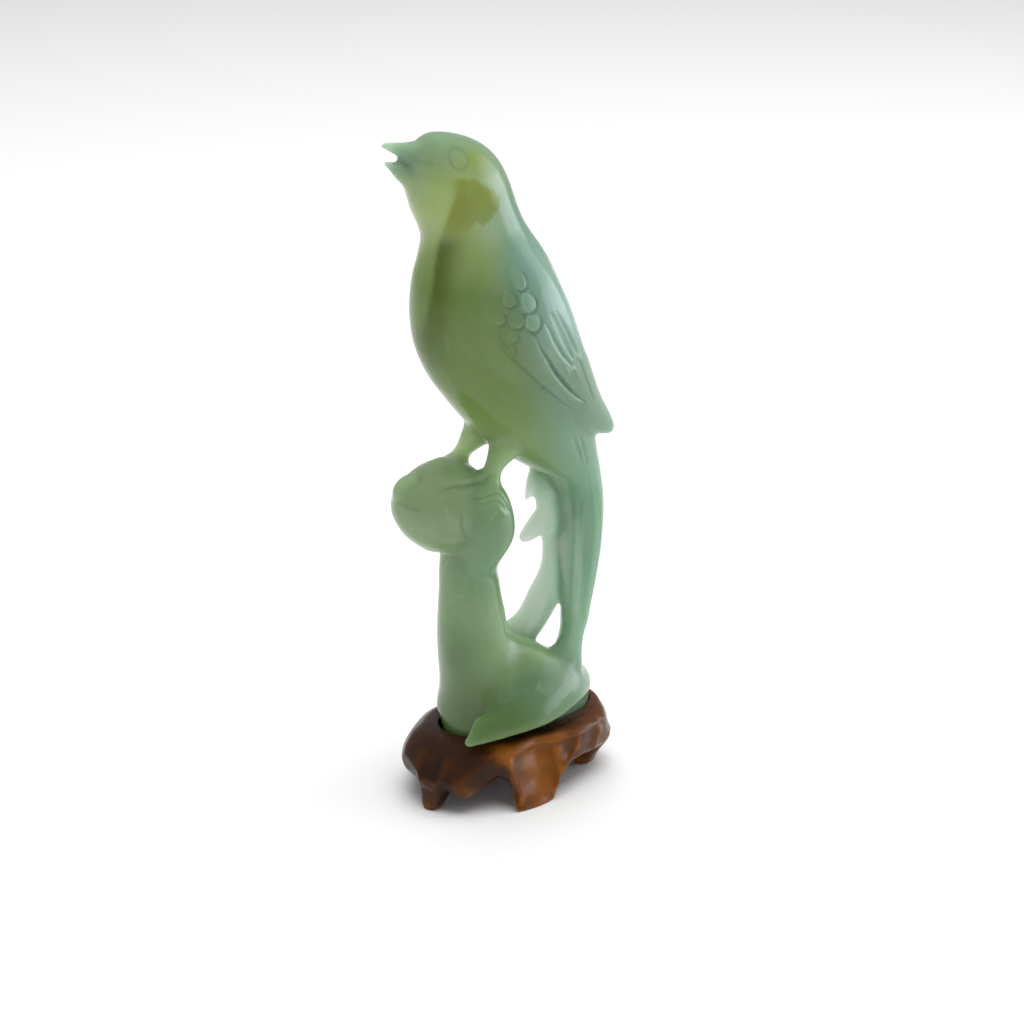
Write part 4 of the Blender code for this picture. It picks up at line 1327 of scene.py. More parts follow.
@dataclass
class JadeCarving:
    """The bird, the stump, the leaf and the side branch, all in one stone.

    Lengths are in the carving's own units. Below the lift there is only the plug, so the rest
    hangs clear of the stand. The plan's shift is how much greater x is here than on the stand.
    The plug goes straight up to a little past the lift, and its neck, between these two heights,
    is drawn in. The shares say how strongly each patch of colour covers the ground.
    """

    node: str = "jade_carving"
    around: int = 48
    rough_voxel: float = 0.8
    blend_passes: int = 90
    blend_pull: float = 0.6
    least_blend: float = 0.02
    voxel: float = 0.42
    softening: int = 6
    most_triangles: int = 192_000
    lift: float = 4.3
    pressed_flat: float = 0.3
    plan_shift: float = 1.715
    plug_past_lift: float = 0.9
    plug_neck: tuple[float, float] = (6.5, 15.0)
    plug_fade: float = 12.0
    colour_falloff: float = 5.0
    bird_yields: float = 1.02
    rim_sheen_share: float = 0.6
    band_share: float = 0.85
    cheek_share: float = 0.75
    foot_share: float = 0.82
    plan: Plan = field(default_factory=Plan)
    limbs: Sequence[Limb] = LIMBS
    finish: JadeFinish = field(default_factory=JadeFinish)

    def __post_init__(self) -> None:
        """Reads the place of the stone from the frame."""
        self.low, self.high = (np.array(corner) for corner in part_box(self.node))

    def bird_skin(self) -> tuple[np.ndarray, list[list[int]]]:
        """The bird's skin.

        Returns:
            Points and faces over rings, each an ellipse between a point of the breast line and
            one of the back line, as wide as the row says.
        """
        rows = smooth_rows(BIRD_PROFILE)
        zero = np.zeros(len(rows))
        front = np.column_stack((rows[:, 0], zero, rows[:, 1]))
        back = np.column_stack((rows[:, 2], zero, rows[:, 3]))
        breadth = np.column_stack((zero, rows[:, 4], zero))
        return closed_skin(ellipses((front + back) / 2, (back - front) / 2, breadth, self.around))

    def foot_skin(self) -> tuple[np.ndarray, list[list[int]]]:
        """The plug that stands in the well.

        Returns:
            Points and faces over the plan's oval carried straight up, then drawn in by the
            cosine of the height above the stand so that it runs into the stump.
        """
        angle = np.linspace(0.0, 2 * math.pi, 160, endpoint=False)
        radius = self.plan.radius(angle)
        straight = np.linspace(0.0, self.lift + self.plug_past_lift, 5)
        heights = np.concatenate((straight, np.linspace(*self.plug_neck, 8)))
        above = heights - self.lift - self.plug_past_lift
        above = np.clip(above / self.plug_fade, 0.0, 1.0)
        rings = []
        for height, share in zip(heights, 0.55 + 0.45 * np.cos(above * math.pi / 2) ** 0.7):
            x = self.plan.centre[0] + self.plan_shift + share * radius * np.cos(angle)
            y = self.plan.centre[1] + share * radius * np.sin(angle)
            rings.append(np.column_stack((x, y, np.full(len(x), height))))
        return closed_skin(np.stack(rings))

    def grown(self) -> bpy.types.Mesh:
        """The skins grown together, worn soft where limbs meet, and made fine enough to carve.

        Returns:
            The stone's mesh in its own units.
        """
        skins = [self.bird_skin(), self.foot_skin()]
        for limb in self.limbs:
            skins.extend(closed_skin(part.rings(self.around)) for part in limb.both())
        body = evaluated(
            mesh_of("limbs", skins),
            ("REMESH", {"mode": "VOXEL", "voxel_size": self.rough_voxel}),
            ("SMOOTH", {"iterations": 2}),
        )
        points = vectors_of(body.vertices, "co")
        weight = sum(blend.weight(points) for blend in BLENDS)
        weight = self.blend_pull * np.clip(weight, self.least_blend, 1.0)
        set_points(body, relaxed(points, edges_of(body), weight, self.blend_passes))
        return evaluated(
            body,
            ("REMESH", {"mode": "VOXEL", "voxel_size": self.voxel}),
            ("SMOOTH", {"iterations": self.softening}),
        )

    def carve(self, points: np.ndarray, normals: np.ndarray) -> tuple[np.ndarray, np.ndarray]:
        """The feathers, folds and veins.

        Args:
            points: The stone's points in its own units.
            normals: The surface's normals there.

        Returns:
            How far each point moves along its normal, and how much of a cut it is. Both fade
            where the surface turns away from the side, since cuts are laid on from the side.
        """
        flat = points[:, [0, 2]]
        turned = ease(np.abs(normals[:, 1]), 0.16, 0.45)
        left = points[:, 1] < 0
        height, mark = plates_height(flat, WING_PLATES)
        for cut in CUTS:
            moved, marked = cut.height(flat)
            allowed = np.ones(len(flat)) if cut.side is Side.BOTH else left.astype(float)
            height += moved * allowed
            mark = np.maximum(mark, marked * allowed)
        return height * turned, mark * turned

    def keep_to_foot(self, points: np.ndarray) -> np.ndarray:
        """What is below the stand's top stays within the foot, and the rest hangs clear of it.

        Args:
            points: The stone's points in its own units.

        Returns:
            The points; a low point just outside the oval is drawn in to it, one farther out is
            lifted to the height of the lift, and the lowest are pressed flat.
        """
        plan_points = points - (self.plan_shift, 0.0, 0.0)
        share = self.plan.share(plan_points)
        loose = (share > 1.0) & (points[:, 2] < self.lift)
        inwards = (share - 1.0) * self.plan.width / 2
        pull = loose & (inwards < self.lift - points[:, 2])
        centre = np.array(self.plan.centre) + (self.plan_shift, 0.0)
        points[pull, :2] = centre + (points[pull, :2] - centre) / share[pull, None]
        points[loose & ~pull, 2] = self.lift
        points[points[:, 2] < self.pressed_flat, 2] = 0.0
        return points

    def colours(self, points: np.ndarray) -> np.ndarray:
        """The stone's ground colour at each point.

        Args:
            points: The stone's points in its own units.

        Returns:
            Linear colours. Each limb has its own, weighed by e to the minus 5 times how much
            farther the point is from that limb's line, in limb thicknesses, than from the
            nearest. The bird's body counts as a little farther than it is, and patches lie over
            the result.
        """
        profile = smooth_rows(BIRD_PROFILE)
        middle = np.column_stack((
            (profile[:, 0] + profile[:, 2]) / 2, np.zeros(len(profile)),
            (profile[:, 1] + profile[:, 3]) / 2,
        ))
        half = np.hypot(profile[:, 2] - profile[:, 0], profile[:, 3] - profile[:, 1]) / 2
        body_reach = self.limb_reach(points, middle, (half + profile[:, 4]) / 2)
        reach = [body_reach * self.bird_yields]
        tints = [self.bird_colours(points)]
        for limb in self.limbs:
            for part in limb.both():
                rows = part.rows()[::2]
                size = (rows[:, 3] + rows[:, 4]) / 2
                reach.append(self.limb_reach(points, rows[:, :3], size))
                tints.append(np.broadcast_to(np.array(part.colour), points.shape))
        reach = np.stack(reach)
        weight = np.exp(-self.colour_falloff * (reach - reach.min(axis=0)))
        weight /= weight.sum(axis=0)
        ground = sum(share[:, None] * tint for share, tint in zip(weight, tints))
        return self.patches(points, ground)

    @staticmethod
    def limb_reach(points: np.ndarray, line: np.ndarray, size: np.ndarray) -> np.ndarray:
        """The least distance from each point to a limb's stations, in limb thicknesses."""
        best = np.full(len(points), np.inf)
        for centre, radius in zip(line, size):
            off = points - centre
            best = np.minimum(best, np.sqrt(np.einsum("ij,ij->i", off, off)) / (radius + 1.0))
        return best

    @staticmethod
    def bird_colours(points: np.ndarray) -> np.ndarray:
        """The bird's colours by height, mixed from the breast to the back."""
        x, _, z = points.T
        heights = [row[0] for row in BIRD_COLOURS]
        front, back = (
            np.column_stack([
                np.interp(z, heights, [row[side][part] for row in BIRD_COLOURS])
                for part in range(3)
            ])
            for side in (1, 2)
        )
        middle = np.interp(z, COLOUR_TURN[:, 0], COLOUR_TURN[:, 1])
        share = ease(x - middle, -COLOUR_TURN_REACH, COLOUR_TURN_REACH)[:, None]
        return front * (1 - share) + back * share

    def patches(self, points: np.ndarray, ground: np.ndarray) -> np.ndarray:
        """The patches of other colours in the stone.

        Args:
            points: The stone's points in its own units.
            ground: The colours so far.

        Returns:
            The colours with these laid over them, in this order: the stains, some of them painted
            light and painted reflection, the breast's grey rim, which is a painted sheen, the band
            down the breast, dark below and olive at its top, the olive cheek, and the deep foot.
            The band is crisp on its left and soft on its right.
        """
        x, _, z = points.T
        flat = points[:, [0, 2]]
        ripple = 0.22 * np.sin(3.1 * z + 1.7 * x) + 0.14 * np.sin(6.3 * x - 4.1 * z + 1.0)
        cheek = 1 - ease(self.outside(flat, CHEEK) + ripple, -0.1, 0.45)
        cheek *= ease(x, -20.5, -16.5) * ease(z, 155.5, 162.0)
        band_x, half = (np.interp(z, BAND[:, 0], BAND[:, k]) for k in (1, 2))
        off = (x - band_x) / half
        band = np.exp(-(np.abs(np.where(off > 0, 0.55 * off, 3.2 * off)) ** 2))
        band *= ease(z, 106.0, 136.0) * (1 - ease(z, 166.0, 172.0))
        top = ease(z, 153.0, 160.0)
        foot = (1 - ease(z, 6.0, 34.0)) * (1 - 0.8 * ease(x + 0.8 * z, 4.0, 20.0))
        # painted grey sheen along the breast's left edge, beside the band
        rim = ease(band_x - half - x, -0.4, 1.6) * ease(z, 124.0, 138.0)
        rim = rim * (1 - ease(z, 154.0, 164.0))
        layers = [(stain.weight(points), stain.colour) for stain in STAINS]
        layers += [
            (rim * self.rim_sheen_share, BREAST_RIM_SHEEN),
            (band * (1 - top) * self.band_share, DARK_OLIVE),
            (band * top * self.band_share, OLIVE),
            (cheek * self.cheek_share, CHEEK_GREEN),
            (foot * self.foot_share, FOOT_GREEN),
        ]
        for share, colour in layers:
            ground = ground * (1 - share)[:, None] + np.array(colour) * share[:, None]
        return ground

    @staticmethod
    def outside(flat: np.ndarray, outline: Rows) -> np.ndarray:
        """How far each point is outside a closed outline; below 0 inside it.

        Args:
            flat: Rows of two numbers.
            outline: The outline's corners, joined round by straight sides.

        Returns:
            The gap to the outline, with its sign from the number of sides that a line drawn
            to the right of the point crosses.
        """
        corners = np.asarray(outline, float)
        ring = np.vstack((corners, corners[:1]))
        gap, _, _ = along_line(flat, ring)
        crossings = np.zeros(len(flat), int)
        for (x0, z0), (x1, z1) in zip(ring, ring[1:]):
            spans = (z0 > flat[:, 1]) != (z1 > flat[:, 1])
            if z0 != z1:
                at = x0 + (flat[:, 1] - z0) / (z1 - z0) * (x1 - x0)
                crossings += spans & (at > flat[:, 0])
        return np.where(crossings % 2 == 1, -gap, gap)

    def to_world(self, points: np.ndarray) -> np.ndarray:
        """The carving's points in metres, fitted to the box of its solid."""
        low, high = points.min(axis=0), points.max(axis=0)
        return self.low + (points - low) / (high - low) * (self.high - self.low)

    def build(self) -> bpy.types.Object:
        """The carved stone.

        Returns:
            The finished piece, in the place of its solid.
        """
        body = self.grown()
        points = vectors_of(body.vertices, "co")
        normals = vectors_of(body.vertex_normals, "vector")
        height, _ = self.carve(points, normals)
        set_points(body, self.keep_to_foot(points + normals * height[:, None]))
        count = sum(len(polygon.vertices) - 2 for polygon in body.polygons)
        if count > self.most_triangles:
            body = evaluated(body, ("DECIMATE", {"ratio": self.most_triangles / count}))
        points = self.keep_to_foot(vectors_of(body.vertices, "co"))
        _, mark = self.carve(points, vectors_of(body.vertex_normals, "vector"))
        ground = self.colours(points)
        set_points(body, self.to_world(points))
        # the cut share darkens the grooves as painted shade in the finish, and roughens them
        add_channel(body, "cut", mark)
        add_channel(body, "stone_colour", ground)
        return piece("jade_bird", body, self.finish.material(), self.node)


# The stand


# The stand's side, all round: direction in degrees, height of the lower edge as a share of the
# rim's, how far the edge and the widest part reach past the foot as shares of the stand's reach,
# how far up the side the widest part is, how full the side is above it, and the reach of the
# shoulder. Where the stand has a foot, its edge is at 0.
STAND_SIDE: Rows = (
    (0, 0.30, 0.30, 0.60, 0.15, 0.02, 0.42),
    (14, 0.34, 0.20, 0.45, 0.14, 0.04, 0.30),
    (16, 0.00, 0.20, 0.45, 0.14, 0.04, 0.28),
    (34, 0.00, 0.18, 0.42, 0.14, 0.04, 0.24),
    (36, 0.30, 0.22, 0.42, 0.14, 0.04, 0.24),
    (66, 0.42, 0.46, 0.54, 0.14, 0.03, 0.42),
    (82, 0.30, 0.60, 0.74, 0.14, 0.02, 0.58),
    (84, 0.00, 0.70, 0.80, 0.14, 0.02, 0.60),
    (106, 0.00, 0.84, 0.94, 0.14, 0.02, 0.72),
    (108, 0.30, 0.78, 0.92, 0.14, 0.02, 0.74),
    (127, 0.44, 0.84, 0.96, 0.14, 0.03, 0.82),
    (139, 0.32, 1.00, 1.22, 0.14, 0.02, 0.95),
    (141, 0.00, 1.00, 1.32, 0.14, 0.02, 0.98),
    (154, 0.00, 1.12, 1.38, 0.14, 0.02, 1.00),
    (156, 0.32, 1.12, 1.38, 0.14, 0.04, 0.98),
    (181, 0.34, 1.14, 1.30, 0.24, 0.09, 0.90),
    (197, 0.36, 1.20, 1.32, 0.26, 0.13, 0.88),
    (199, 0.00, 1.46, 1.38, 0.36, 0.13, 0.88),
    (207, 0.00, 1.44, 1.40, 0.36, 0.13, 0.88),
    (209, 0.34, 1.22, 1.40, 0.20, 0.11, 0.92),
    (219, 0.20, 1.22, 1.50, 0.15, 0.06, 0.98),
    (227, 0.36, 1.16, 1.26, 0.15, 0.06, 0.96),
    (235, 0.50, 1.04, 1.12, 0.15, 0.06, 0.98),
    (243, 0.40, 1.18, 1.24, 0.15, 0.02, 0.98),
    (245, 0.00, 1.56, 1.40, 0.22, -0.04, 0.92),
    (262, 0.00, 1.34, 1.26, 0.22, -0.12, 0.70),
    (275, 0.00, 1.10, 1.12, 0.22, -0.08, 0.70),
    (279, 0.30, 1.02, 1.12, 0.14, -0.04, 0.82),
    (293, 0.46, 0.95, 0.96, 0.14, -0.04, 0.84),
    (310, 0.46, 0.87, 0.92, 0.14, 0.00, 0.84),
    (338, 0.34, 0.58, 0.84, 0.20, 0.06, 0.78),
    (343, 0.00, 0.16, 0.78, 0.48, 0.08, 0.70),
    (353, 0.00, 0.34, 0.66, 0.48, 0.08, 0.56),
    (357, 0.30, 0.34, 0.62, 0.20, 0.04, 0.48),
)


@dataclass(frozen=True)
class Swell:
    """A soft rise on the stand's side, or a hollow in it.

    It is centred on a direction in degrees and a height in millimetres, spreads this far each
    way, and moves the surface by its rise in millimetres.
    """

    direction: float
    height: float
    spread: float
    tall: float
    rise: float

    def move(self, degrees: np.ndarray, heights: np.ndarray) -> np.ndarray:
        """How far it moves the surface outwards.

        Args:
            degrees: Directions of the grid.
            heights: Heights of the grid.

        Returns:
            The rise times e to the minus r^2, where r^2 = (turn / spread)^2 + (height above the
            centre / tall)^2.
        """
        turn = (degrees - self.direction + 180) % 360 - 180
        square = (turn / self.spread) ** 2 + ((heights - self.height) / self.tall) ** 2
        return self.rise * np.exp(-square)


SWELLS: Sequence[Swell] = (
    Swell(262, 11.0, 15.0, 9.0, -1.7),
    Swell(291, 12.5, 9.0, 7.0, -0.8),
    Swell(232, 12.5, 9.0, 7.0, -0.6),
    Swell(318, 12.0, 9.0, 6.0, -0.5),
    Swell(220, 7.6, 5.0, 4.2, 0.9),
    Swell(190, 12.0, 8.0, 6.0, -0.4),
    Swell(165, 11.0, 10.0, 7.0, -0.5),
    Swell(128, 12.0, 11.0, 7.0, -0.7),
    Swell(88, 11.0, 9.0, 6.0, -0.3),
    Swell(50, 12.0, 12.0, 7.0, -0.5),
    Swell(14, 12.0, 9.0, 6.0, -0.4),
)


@dataclass(frozen=True)
class Crest:
    """A worn ridge that runs over the stand's side, where two scoops meet.

    Its line is a list of directions in degrees and heights in millimetres. The wood stands up by
    the rise along it, and falls away over the reach to either side. A degree counts as this many
    millimetres along the side, and the worn width rounds the ridge's top.
    """

    line: Rows
    rise: float = 0.6
    reach: float = 2.2
    along: float = 0.52
    worn: float = 0.35

    def move(self, degrees: np.ndarray, heights: np.ndarray) -> np.ndarray:
        """How far it moves the surface outwards.

        Args:
            degrees: Directions of the grid.
            heights: Heights of the grid.

        Returns:
            The rise times e to the minus g over the reach, where g is the gap to the line in
            millimetres, rounded off near 0 by the worn width. The ridge grows fainter over a
            fifth of its line at both ends.
        """
        line = smooth_rows(self.line, 4)
        turn = (degrees - line[0, 0] + 180) % 360 - 180
        turn = np.broadcast_to(turn, heights.shape)
        points = np.column_stack((turn.ravel() * self.along, heights.ravel()))
        line = np.column_stack(((line[:, 0] - line[0, 0]) * self.along, line[:, 1]))
        gap, _, share = along_line(points, line)
        gap = np.hypot(gap, self.worn) - self.worn
        fade = ease(np.minimum(share, 1 - share), -0.05, 0.2)
        return (self.rise * fade * np.exp(-gap / self.reach)).reshape(heights.shape)


CRESTS: Sequence[Crest] = (
    # round the scoop over the front foot, and along the rim above it
    Crest(((236, 18.2), (241, 14.8), (245, 10.5), (248, 6.0), (250, 1.0)), 1.0, 2.4),
    Crest(((236, 18.0), (250, 18.4), (268, 18.6), (288, 18.7), (308, 18.4), (330, 18.0)), 0.5, 1.6),
    Crest(((304, 17.0), (298, 12.5), (286, 8.5), (276, 4.5), (271, 0.5)), 0.8, 2.2),
    # over the left foot, up from the knuckle, and over the right foot
    Crest(((192, 4.0), (197, 8.4), (203, 9.8), (208, 8.8), (213, 5.0)), 0.6, 1.6),
    Crest(((214, 9.0), (220, 11.4), (226, 14.4), (233, 17.8)), 0.7, 2.2),
    Crest(((330, 5.0), (336, 9.4), (345, 11.0), (356, 9.6)), 0.8, 1.8),
    Crest(((318, 5.5), (322, 11.0), (330, 17.0)), 0.6, 2.0),
    # the plainer back
    Crest(((180, 4.0), (184, 10.0), (178, 17.0)), 0.5),
    Crest(((152, 2.0), (148, 9.0), (140, 17.0))),
    Crest(((112, 3.0), (108, 9.0), (99, 17.0))),
    Crest(((78, 4.0), (72, 11.0), (62, 17.5)), 0.5),
    Crest(((36, 3.0), (32, 9.0), (23, 17.0)), 0.5),
)


@dataclass
class WoodStand:
    """The low hardwood stand, carved like a gnarled root, with a well for the stone's foot.

    Lengths are in millimetres. The floor is the thickness below the well, and the skirt that of
    the side round the hollow underneath. The shoulder is a share of the rim's height, the
    softening widths belong to the measures of the side, in degrees, and the uncarved steps are
    those of the profile that carry no swells. The places of the toe, the knuckle and the crest
    are where the wood is brightest, as x and y; at the crest this is a painted highlight. The
    hollow gain and start turn hollowness into painted shade.
    """

    node: str = "wood_stand"
    columns: int = 540
    rim_height: float = 20.0
    well_depth: float = 4.0
    clearance: float = 0.4
    reach_past_foot: float = 9.3
    floor: float = 6.0
    skirt: float = 4.5
    shoulder: float = 0.87
    softening_widths: Sequence[float] = (1.9, 2.2, 4.0, 5.0, 7.0, 7.0)
    uncarved_steps: int = 24
    toe: tuple[float, float] = (-29.7, -11.6)
    knuckle: tuple[float, float] = (-18.0, -19.0)
    crest_highlight: tuple[float, float] = (-9.3, -19.5)
    hollow_shade_gain: float = 1.1
    hollow_shade_start: float = 0.05
    plan: Plan = field(default_factory=Plan)
    finish: LacquerFinish = field(default_factory=LacquerFinish)

    def __post_init__(self) -> None:
        """Reads the stand's corners from the frame, and from them the size of a millimetre."""
        self.low, self.high = (np.array(corner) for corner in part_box(self.node))
        self.unit = (self.high[2] - self.low[2]) / self.rim_height

    def side(self, angle: np.ndarray) -> list[np.ndarray]:
        """The side's measures at each direction, softened round the stand.

        Args:
            angle: Directions in radians, evenly spaced.

        Returns:
            Edge height, edge reach, widest reach, widest place, fullness and shoulder reach.
        """
        table = np.array(STAND_SIDE)
        degrees = np.degrees(angle)
        measures = (np.interp(degrees, table[:, 0], column, period=360) for column in table.T[1:])
        pairs = zip(measures, self.softening_widths)
        return [self.softened(measure, width) for measure, width in pairs]

    def softened(self, values: np.ndarray, width: float) -> np.ndarray:
        """A running mean round the stand, bell-shaped with this width in degrees."""
        step = 360.0 / self.columns
        reach = int(3 * width / step) + 1
        offsets = np.arange(-reach, reach + 1)
        weights = np.exp(-((offsets * step / width) ** 2))
        weights /= weights.sum()
        return sum(weight * np.roll(values, shift) for weight, shift in zip(weights, offsets))

    def profile(self, angle: np.ndarray) -> tuple[np.ndarray, np.ndarray]:
        """The profile from the hollow below, over the side, and down into the well.

        Args:
            angle: Directions in radians.

        Returns:
            Radii and heights, each an array of profile step by direction. Each column passes
            through its own control points along Catmull-Rom curves.
        """
        edge, toe, belly, rise, full, shoulder = self.side(angle)
        oval = self.plan.radius(angle)
        mouth = self.plan.radius(angle, self.clearance)
        well = self.rim_height - self.well_depth
        ceiling = well - self.floor
        low = edge * self.rim_height
        side = self.shoulder * self.rim_height - low
        top = self.rim_height * (1 - self.shoulder)
        past = self.reach_past_foot
        inner = oval + toe * past - self.skirt
        between = rise + (0.62 - rise) * 0.5
        flat = np.ones(len(angle))
        under = (
            (inner * 0.5, ceiling * flat),
            (inner * 0.8, ceiling * flat),
            (inner * 0.93, ceiling * flat - 0.35),
            (inner * 0.985, low + (ceiling - low) * 0.6),
            (inner, low + 0.5),
        )
        outside = (
            (inner + 0.6, low + 0.02),
            (oval + toe * past - 0.9, low),
            (oval + toe * past - 0.15, low + 0.45),
            (oval + (0.45 * toe + 0.55 * belly) * past, low + side * rise * 0.55 + 0.25),
            (oval + belly * past, low + side * rise + 0.3),
            (oval + (0.85 * belly + 0.15 * shoulder + full) * past, low + side * between),
            (oval + (0.6 * belly + 0.4 * shoulder + full) * past, low + side * 0.66),
            (oval + (0.2 * belly + 0.8 * shoulder + full) * past, low + side * 0.87),
            (oval + shoulder * past, low + side),
            (0.6 * (oval + shoulder * past) + 0.4 * (mouth + 1.2), low + side + top * 0.72),
            (0.25 * (oval + shoulder * past) + 0.75 * (mouth + 1.2), low + side + top * 0.95),
            (mouth + 0.55, low + side + top),
            (mouth + 0.08, low + side + top - 0.28),
        )
        inside = (
            (mouth, low + side + top - 0.8),
            (mouth, well + 0.3 * flat),
            (mouth - 0.3, well * flat),
            (mouth * 0.5, well * flat),
        )
        parts = ((under, 5), (outside, 7), (inside, 3))
        radii, heights = (
            np.vstack([smooth_rows([row[kind] for row in part], steps) for part, steps in parts])
            for kind in (0, 1)
        )
        return radii, heights

    def swells(self, angle: np.ndarray, heights: np.ndarray) -> np.ndarray:
        """How far the carver's hollows and knuckles move the side outwards.

        Args:
            angle: Directions in radians.
            heights: Heights of the grid.

        Returns:
            The sum of all swells and crests, and of three faint waves that run slantwise round
            the stand.
        """
        degrees = np.degrees(angle)
        total = sum(form.move(degrees, heights) for form in (*SWELLS, *CRESTS))
        gnarl = (
            0.12 * np.sin(5 * angle + 0.35 * heights)
            + 0.08 * np.sin(11 * angle - 0.5 * heights + 1.0)
            + 0.03 * np.sin(23 * angle + 0.9 * heights + 2.0)
        )
        return total + gnarl

    def grid(self) -> np.ndarray:
        """The stand's points in millimetres, as ring, direction and x, y, z."""
        angle = np.linspace(0.0, 2 * math.pi, self.columns, endpoint=False)
        radii, heights = self.profile(angle)
        mouth = self.plan.radius(angle, self.clearance)
        outside = ease(radii - mouth, 1.0, 3.5) * ease(heights, -0.5, 2.0)
        steps = np.arange(len(radii))[:, None]
        on_side = (steps > self.uncarved_steps).astype(float)
        radii = radii + self.swells(angle, heights) * outside * on_side
        x = self.plan.centre[0] + radii * np.cos(angle)
        y = self.plan.centre[1] + radii * np.sin(angle)
        return np.stack((x, y, np.maximum(heights, 0.0)), axis=-1)

    def hollowness(self, points: np.ndarray) -> np.ndarray:
        """How far each point of the grid lies inside its surroundings, in millimetres.

        Args:
            points: The grid.

        Returns:
            The mean of the points 4 directions to both sides and 2 profile steps up and down,
            and of those twice as far away, less the point, measured along the outward normal:
            above 0 in hollows, below 0 on ridges.
        """
        along = np.roll(points, -1, axis=1) - np.roll(points, 1, axis=1)
        up = np.gradient(points, axis=0)
        normal = unit_rows(np.cross(along, up))
        total = np.zeros(points.shape[:2])
        steps = np.arange(len(points))
        for shift in (4, 8):
            below, above = (np.clip(steps + way * shift // 2, 0, steps[-1]) for way in (-1, 1))
            mean = (
                np.roll(points, shift, axis=1) + np.roll(points, -shift, axis=1)
                + points[below] + points[above]
            ) / 4
            total += np.sum((mean - points) * normal, axis=-1) / 2
        return total

    def warmth(self, points: np.ndarray, hollow: np.ndarray) -> np.ndarray:
        """Where the wood is orange tan rather than dark brown.

        Args:
            points: The grid.
            hollow: How hollow the grid is.

        Returns:
            A share: more on the front and right faces and at the toe and the knuckle, a painted
            highlight at the crest and on ridges, less on the left.
        """
        x, y, z = points[..., 0], points[..., 1], points[..., 2]
        front = bell(x - 3.0, 12.0) * ease(-y, 9.0, 17.0) * (1 - ease(z, 18.6, 19.8))
        right = ease(x, 6.0, 26.0)
        toe = self.close_to(points, self.toe, 4.0) * (1 - ease(z, 5.0, 9.0))
        knuckle = self.close_to(points, self.knuckle, 4.5) * (1 - ease(z, 7.0, 11.0))
        back = 0.3 * ease(y, 4.0, 20.0)
        # painted highlight: ridges made paler
        ridge = np.clip(-hollow * 1.2, 0.0, 0.4)
        # painted highlight at the lit crest of the rim
        crest_highlight = self.close_to(points, self.crest_highlight, 3.6) * ease(z, 12.0, 17.0)
        bright = 0.8 * front + 0.42 * right + 0.2 * toe + 0.35 * knuckle + 0.6 * crest_highlight
        return 0.08 + bright + back + ridge

    @staticmethod
    def close_to(points: np.ndarray, place: tuple[float, float], breadth: float) -> np.ndarray:
        """A bell curve of each point's gap in plan to a place."""
        return bell(np.hypot(points[..., 0] - place[0], points[..., 1] - place[1]), breadth)

    def build(self) -> bpy.types.Object:
        """The carved stand.

        Returns:
            The finished piece, in the place of its solid.
        """
        points = self.grid()
        hollow = self.hollowness(points)
        skin_points, faces = closed_skin(points)
        mesh = mesh_of("stand", [(skin_points, faces)])
        set_points(mesh, np.clip(skin_points * self.unit, self.low, self.high))
        # how much painted shade each point gets, from its hollowness
        dark = np.clip(hollow * self.hollow_shade_gain - self.hollow_shade_start, 0.0, 1.0)
        # the two poles, out of sight below and in the well, come last: no warmth, and full painted
        # shade
        add_channel(mesh, "warmth", np.append(self.warmth(points, hollow).ravel(), (0.0, 0.0)))
        add_channel(mesh, "hollow", np.append(dark.ravel(), (1.0, 1.0)))
        return piece("carved_stand", mesh, self.finish.material(), self.node)


def piece(
    name: str, mesh: bpy.types.Mesh, material: bpy.types.Material, node: str
) -> bpy.types.Object:
    """A finished piece that stands for a solid of the frame.

    Args:
        name: The piece's name.
        mesh: Its mesh, in metres in the object's frame.
        material: Its finish.
        node: The solid it stands for.

    Returns:
        The piece, smooth, riding on the one body.
    """
    mesh.materials.clear()
    mesh.materials.append(material)
    mesh.shade_smooth()
    mesh.name = name
    finished = bpy.data.objects.new(name, mesh)
    bpy.context.scene.collection.objects.link(finished)
    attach(finished, "root")
    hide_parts(node)
    return finished


# The studio


class Use(Enum):
    """What a light is for: lighting surfaces, showing in their gloss, or both."""

    LIGHT = "light"
    GLOSS = "gloss"
    BOTH = "both"


@dataclass(frozen=True)
class SoftLight:
    """A soft rectangular light that faces a point. Lengths are in metres, the power in watts."""

    name: str
    place: Place
    target: Place
    size: tuple[float, float]
    power: float
    colour: Colour = (1.0, 1.0, 1.0)
    use: Use = Use.BOTH

    def build(self) -> None:
        """Adds the light."""
        data = bpy.data.lights.new(self.name, "AREA")
        data.shape = "RECTANGLE"
        data.size, data.size_y = self.size
        data.energy = self.power
        data.color = self.colour
        light = bpy.data.objects.new(self.name, data)
        bpy.context.scene.collection.objects.link(light)
        light.location = self.place
        facing = Vector(self.place) - Vector(self.target)
        light.rotation_euler = facing.to_track_quat("Z", "Y").to_euler()
        light.visible_diffuse = self.use is not Use.GLOSS
        light.visible_glossy = self.use is not Use.LIGHT


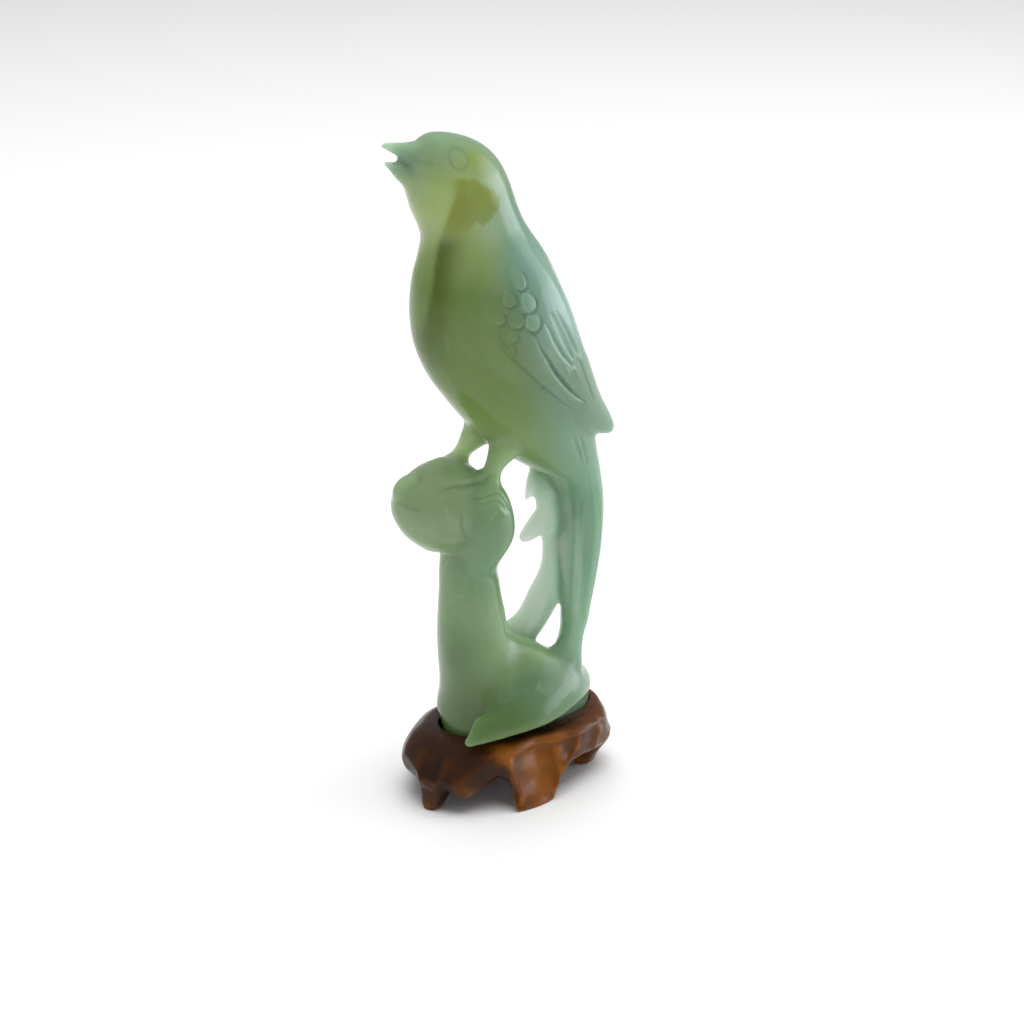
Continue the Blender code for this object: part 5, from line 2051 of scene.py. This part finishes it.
@dataclass
class Studio:
    """The pale floor, the soft light and the camera at the photograph's viewing angle.

    Angles are in degrees, lengths in metres, and the lens and the sensor in millimetres.
    """

    azimuth: float = -25.0
    elevation: float = 20.0
    distance: float = 0.8
    lens: float = 101.07
    sensor: float = 36.0
    nearest_seen: float = 0.02
    target: Place = (-0.014415, -0.0382, 0.100)
    world_light: float = 0.42
    floor_reach: float = 6.0
    floor_cells: int = 8
    floor_drop: float = 0.0001
    lights: Sequence[SoftLight] = (
        SoftLight(
            "window", place=(0.98, -0.2, 0.2), target=(0.0, 0.0, 0.10), size=(0.9, 0.42),
            power=3.2, colour=(0.82, 0.9, 1.0), use=Use.GLOSS,
        ),
        SoftLight(
            "side", place=(1.1, -0.2, 0.5), target=(0.0, 0.0, 0.10), size=(0.8, 0.8),
            power=3.0, colour=(0.9, 0.97, 1.0),
        ),
        SoftLight(
            "ceiling", place=(0.15, 0.1, 1.5), target=(0.0, 0.0, 0.0), size=(1.8, 1.8),
            power=30.0, use=Use.LIGHT,
        ),
    )

    def build(self) -> None:
        """Adds the floor, the lights, the world and the camera."""
        self.build_floor()
        for light in self.lights:
            light.build()
        world = bpy.data.worlds.new("studio")
        world.use_nodes = True
        background = world.node_tree.nodes["Background"]
        background.inputs["Color"].default_value = (1.0, 1.0, 1.0, 1.0)
        background.inputs["Strength"].default_value = self.world_light
        bpy.context.scene.world = world
        bpy.context.scene.view_settings.view_transform = "Standard"
        self.build_camera()

    def build_floor(self) -> None:
        """Adds the floor, a flat grid just under the stand's feet."""
        across = self.floor_cells + 1
        steps = np.linspace(-self.floor_reach / 2, self.floor_reach / 2, across)
        x, y = np.meshgrid(steps, steps)
        points = np.column_stack((x.ravel(), y.ravel(), np.full(x.size, -self.floor_drop)))
        cell = np.arange(self.floor_cells)
        first = (cell[:, None] * across + cell[None, :]).ravel()
        faces = np.column_stack((first, first + 1, first + across + 1, first + across))
        mesh = bpy.data.meshes.new("floor")
        mesh.from_pydata(points.tolist(), [], faces.tolist())
        mesh.materials.append(FloorFinish().material())
        floor = bpy.data.objects.new("floor", mesh)
        bpy.context.scene.collection.objects.link(floor)

    def build_camera(self) -> None:
        """Adds the camera, turned round the object by the azimuth and the elevation."""
        turn, rise = math.radians(self.azimuth), math.radians(self.elevation)
        back = Vector((
            math.sin(turn) * math.cos(rise), -math.cos(turn) * math.cos(rise), math.sin(rise),
        ))
        data = bpy.data.cameras.new("camera")
        data.sensor_width = self.sensor
        data.lens = self.lens
        data.clip_start = self.nearest_seen
        camera = bpy.data.objects.new("camera", data)
        bpy.context.scene.collection.objects.link(camera)
        camera.location = Vector(self.target) + back * self.distance
        camera.rotation_euler = back.to_track_quat("Z", "Y").to_euler()
        bpy.context.scene.camera = camera


def main() -> None:
    """Builds the stone, the stand and the studio, and reports each."""
    logging.basicConfig(level=logging.INFO, format="%(message)s")
    for part in (JadeCarving(), WoodStand()):
        made = part.build()
        triangles = sum(len(polygon.vertices) - 2 for polygon in made.data.polygons)
        LOG.info("%s: %d triangles", made.name, triangles)
    Studio().build()


if __name__ == "__main__":
    main()
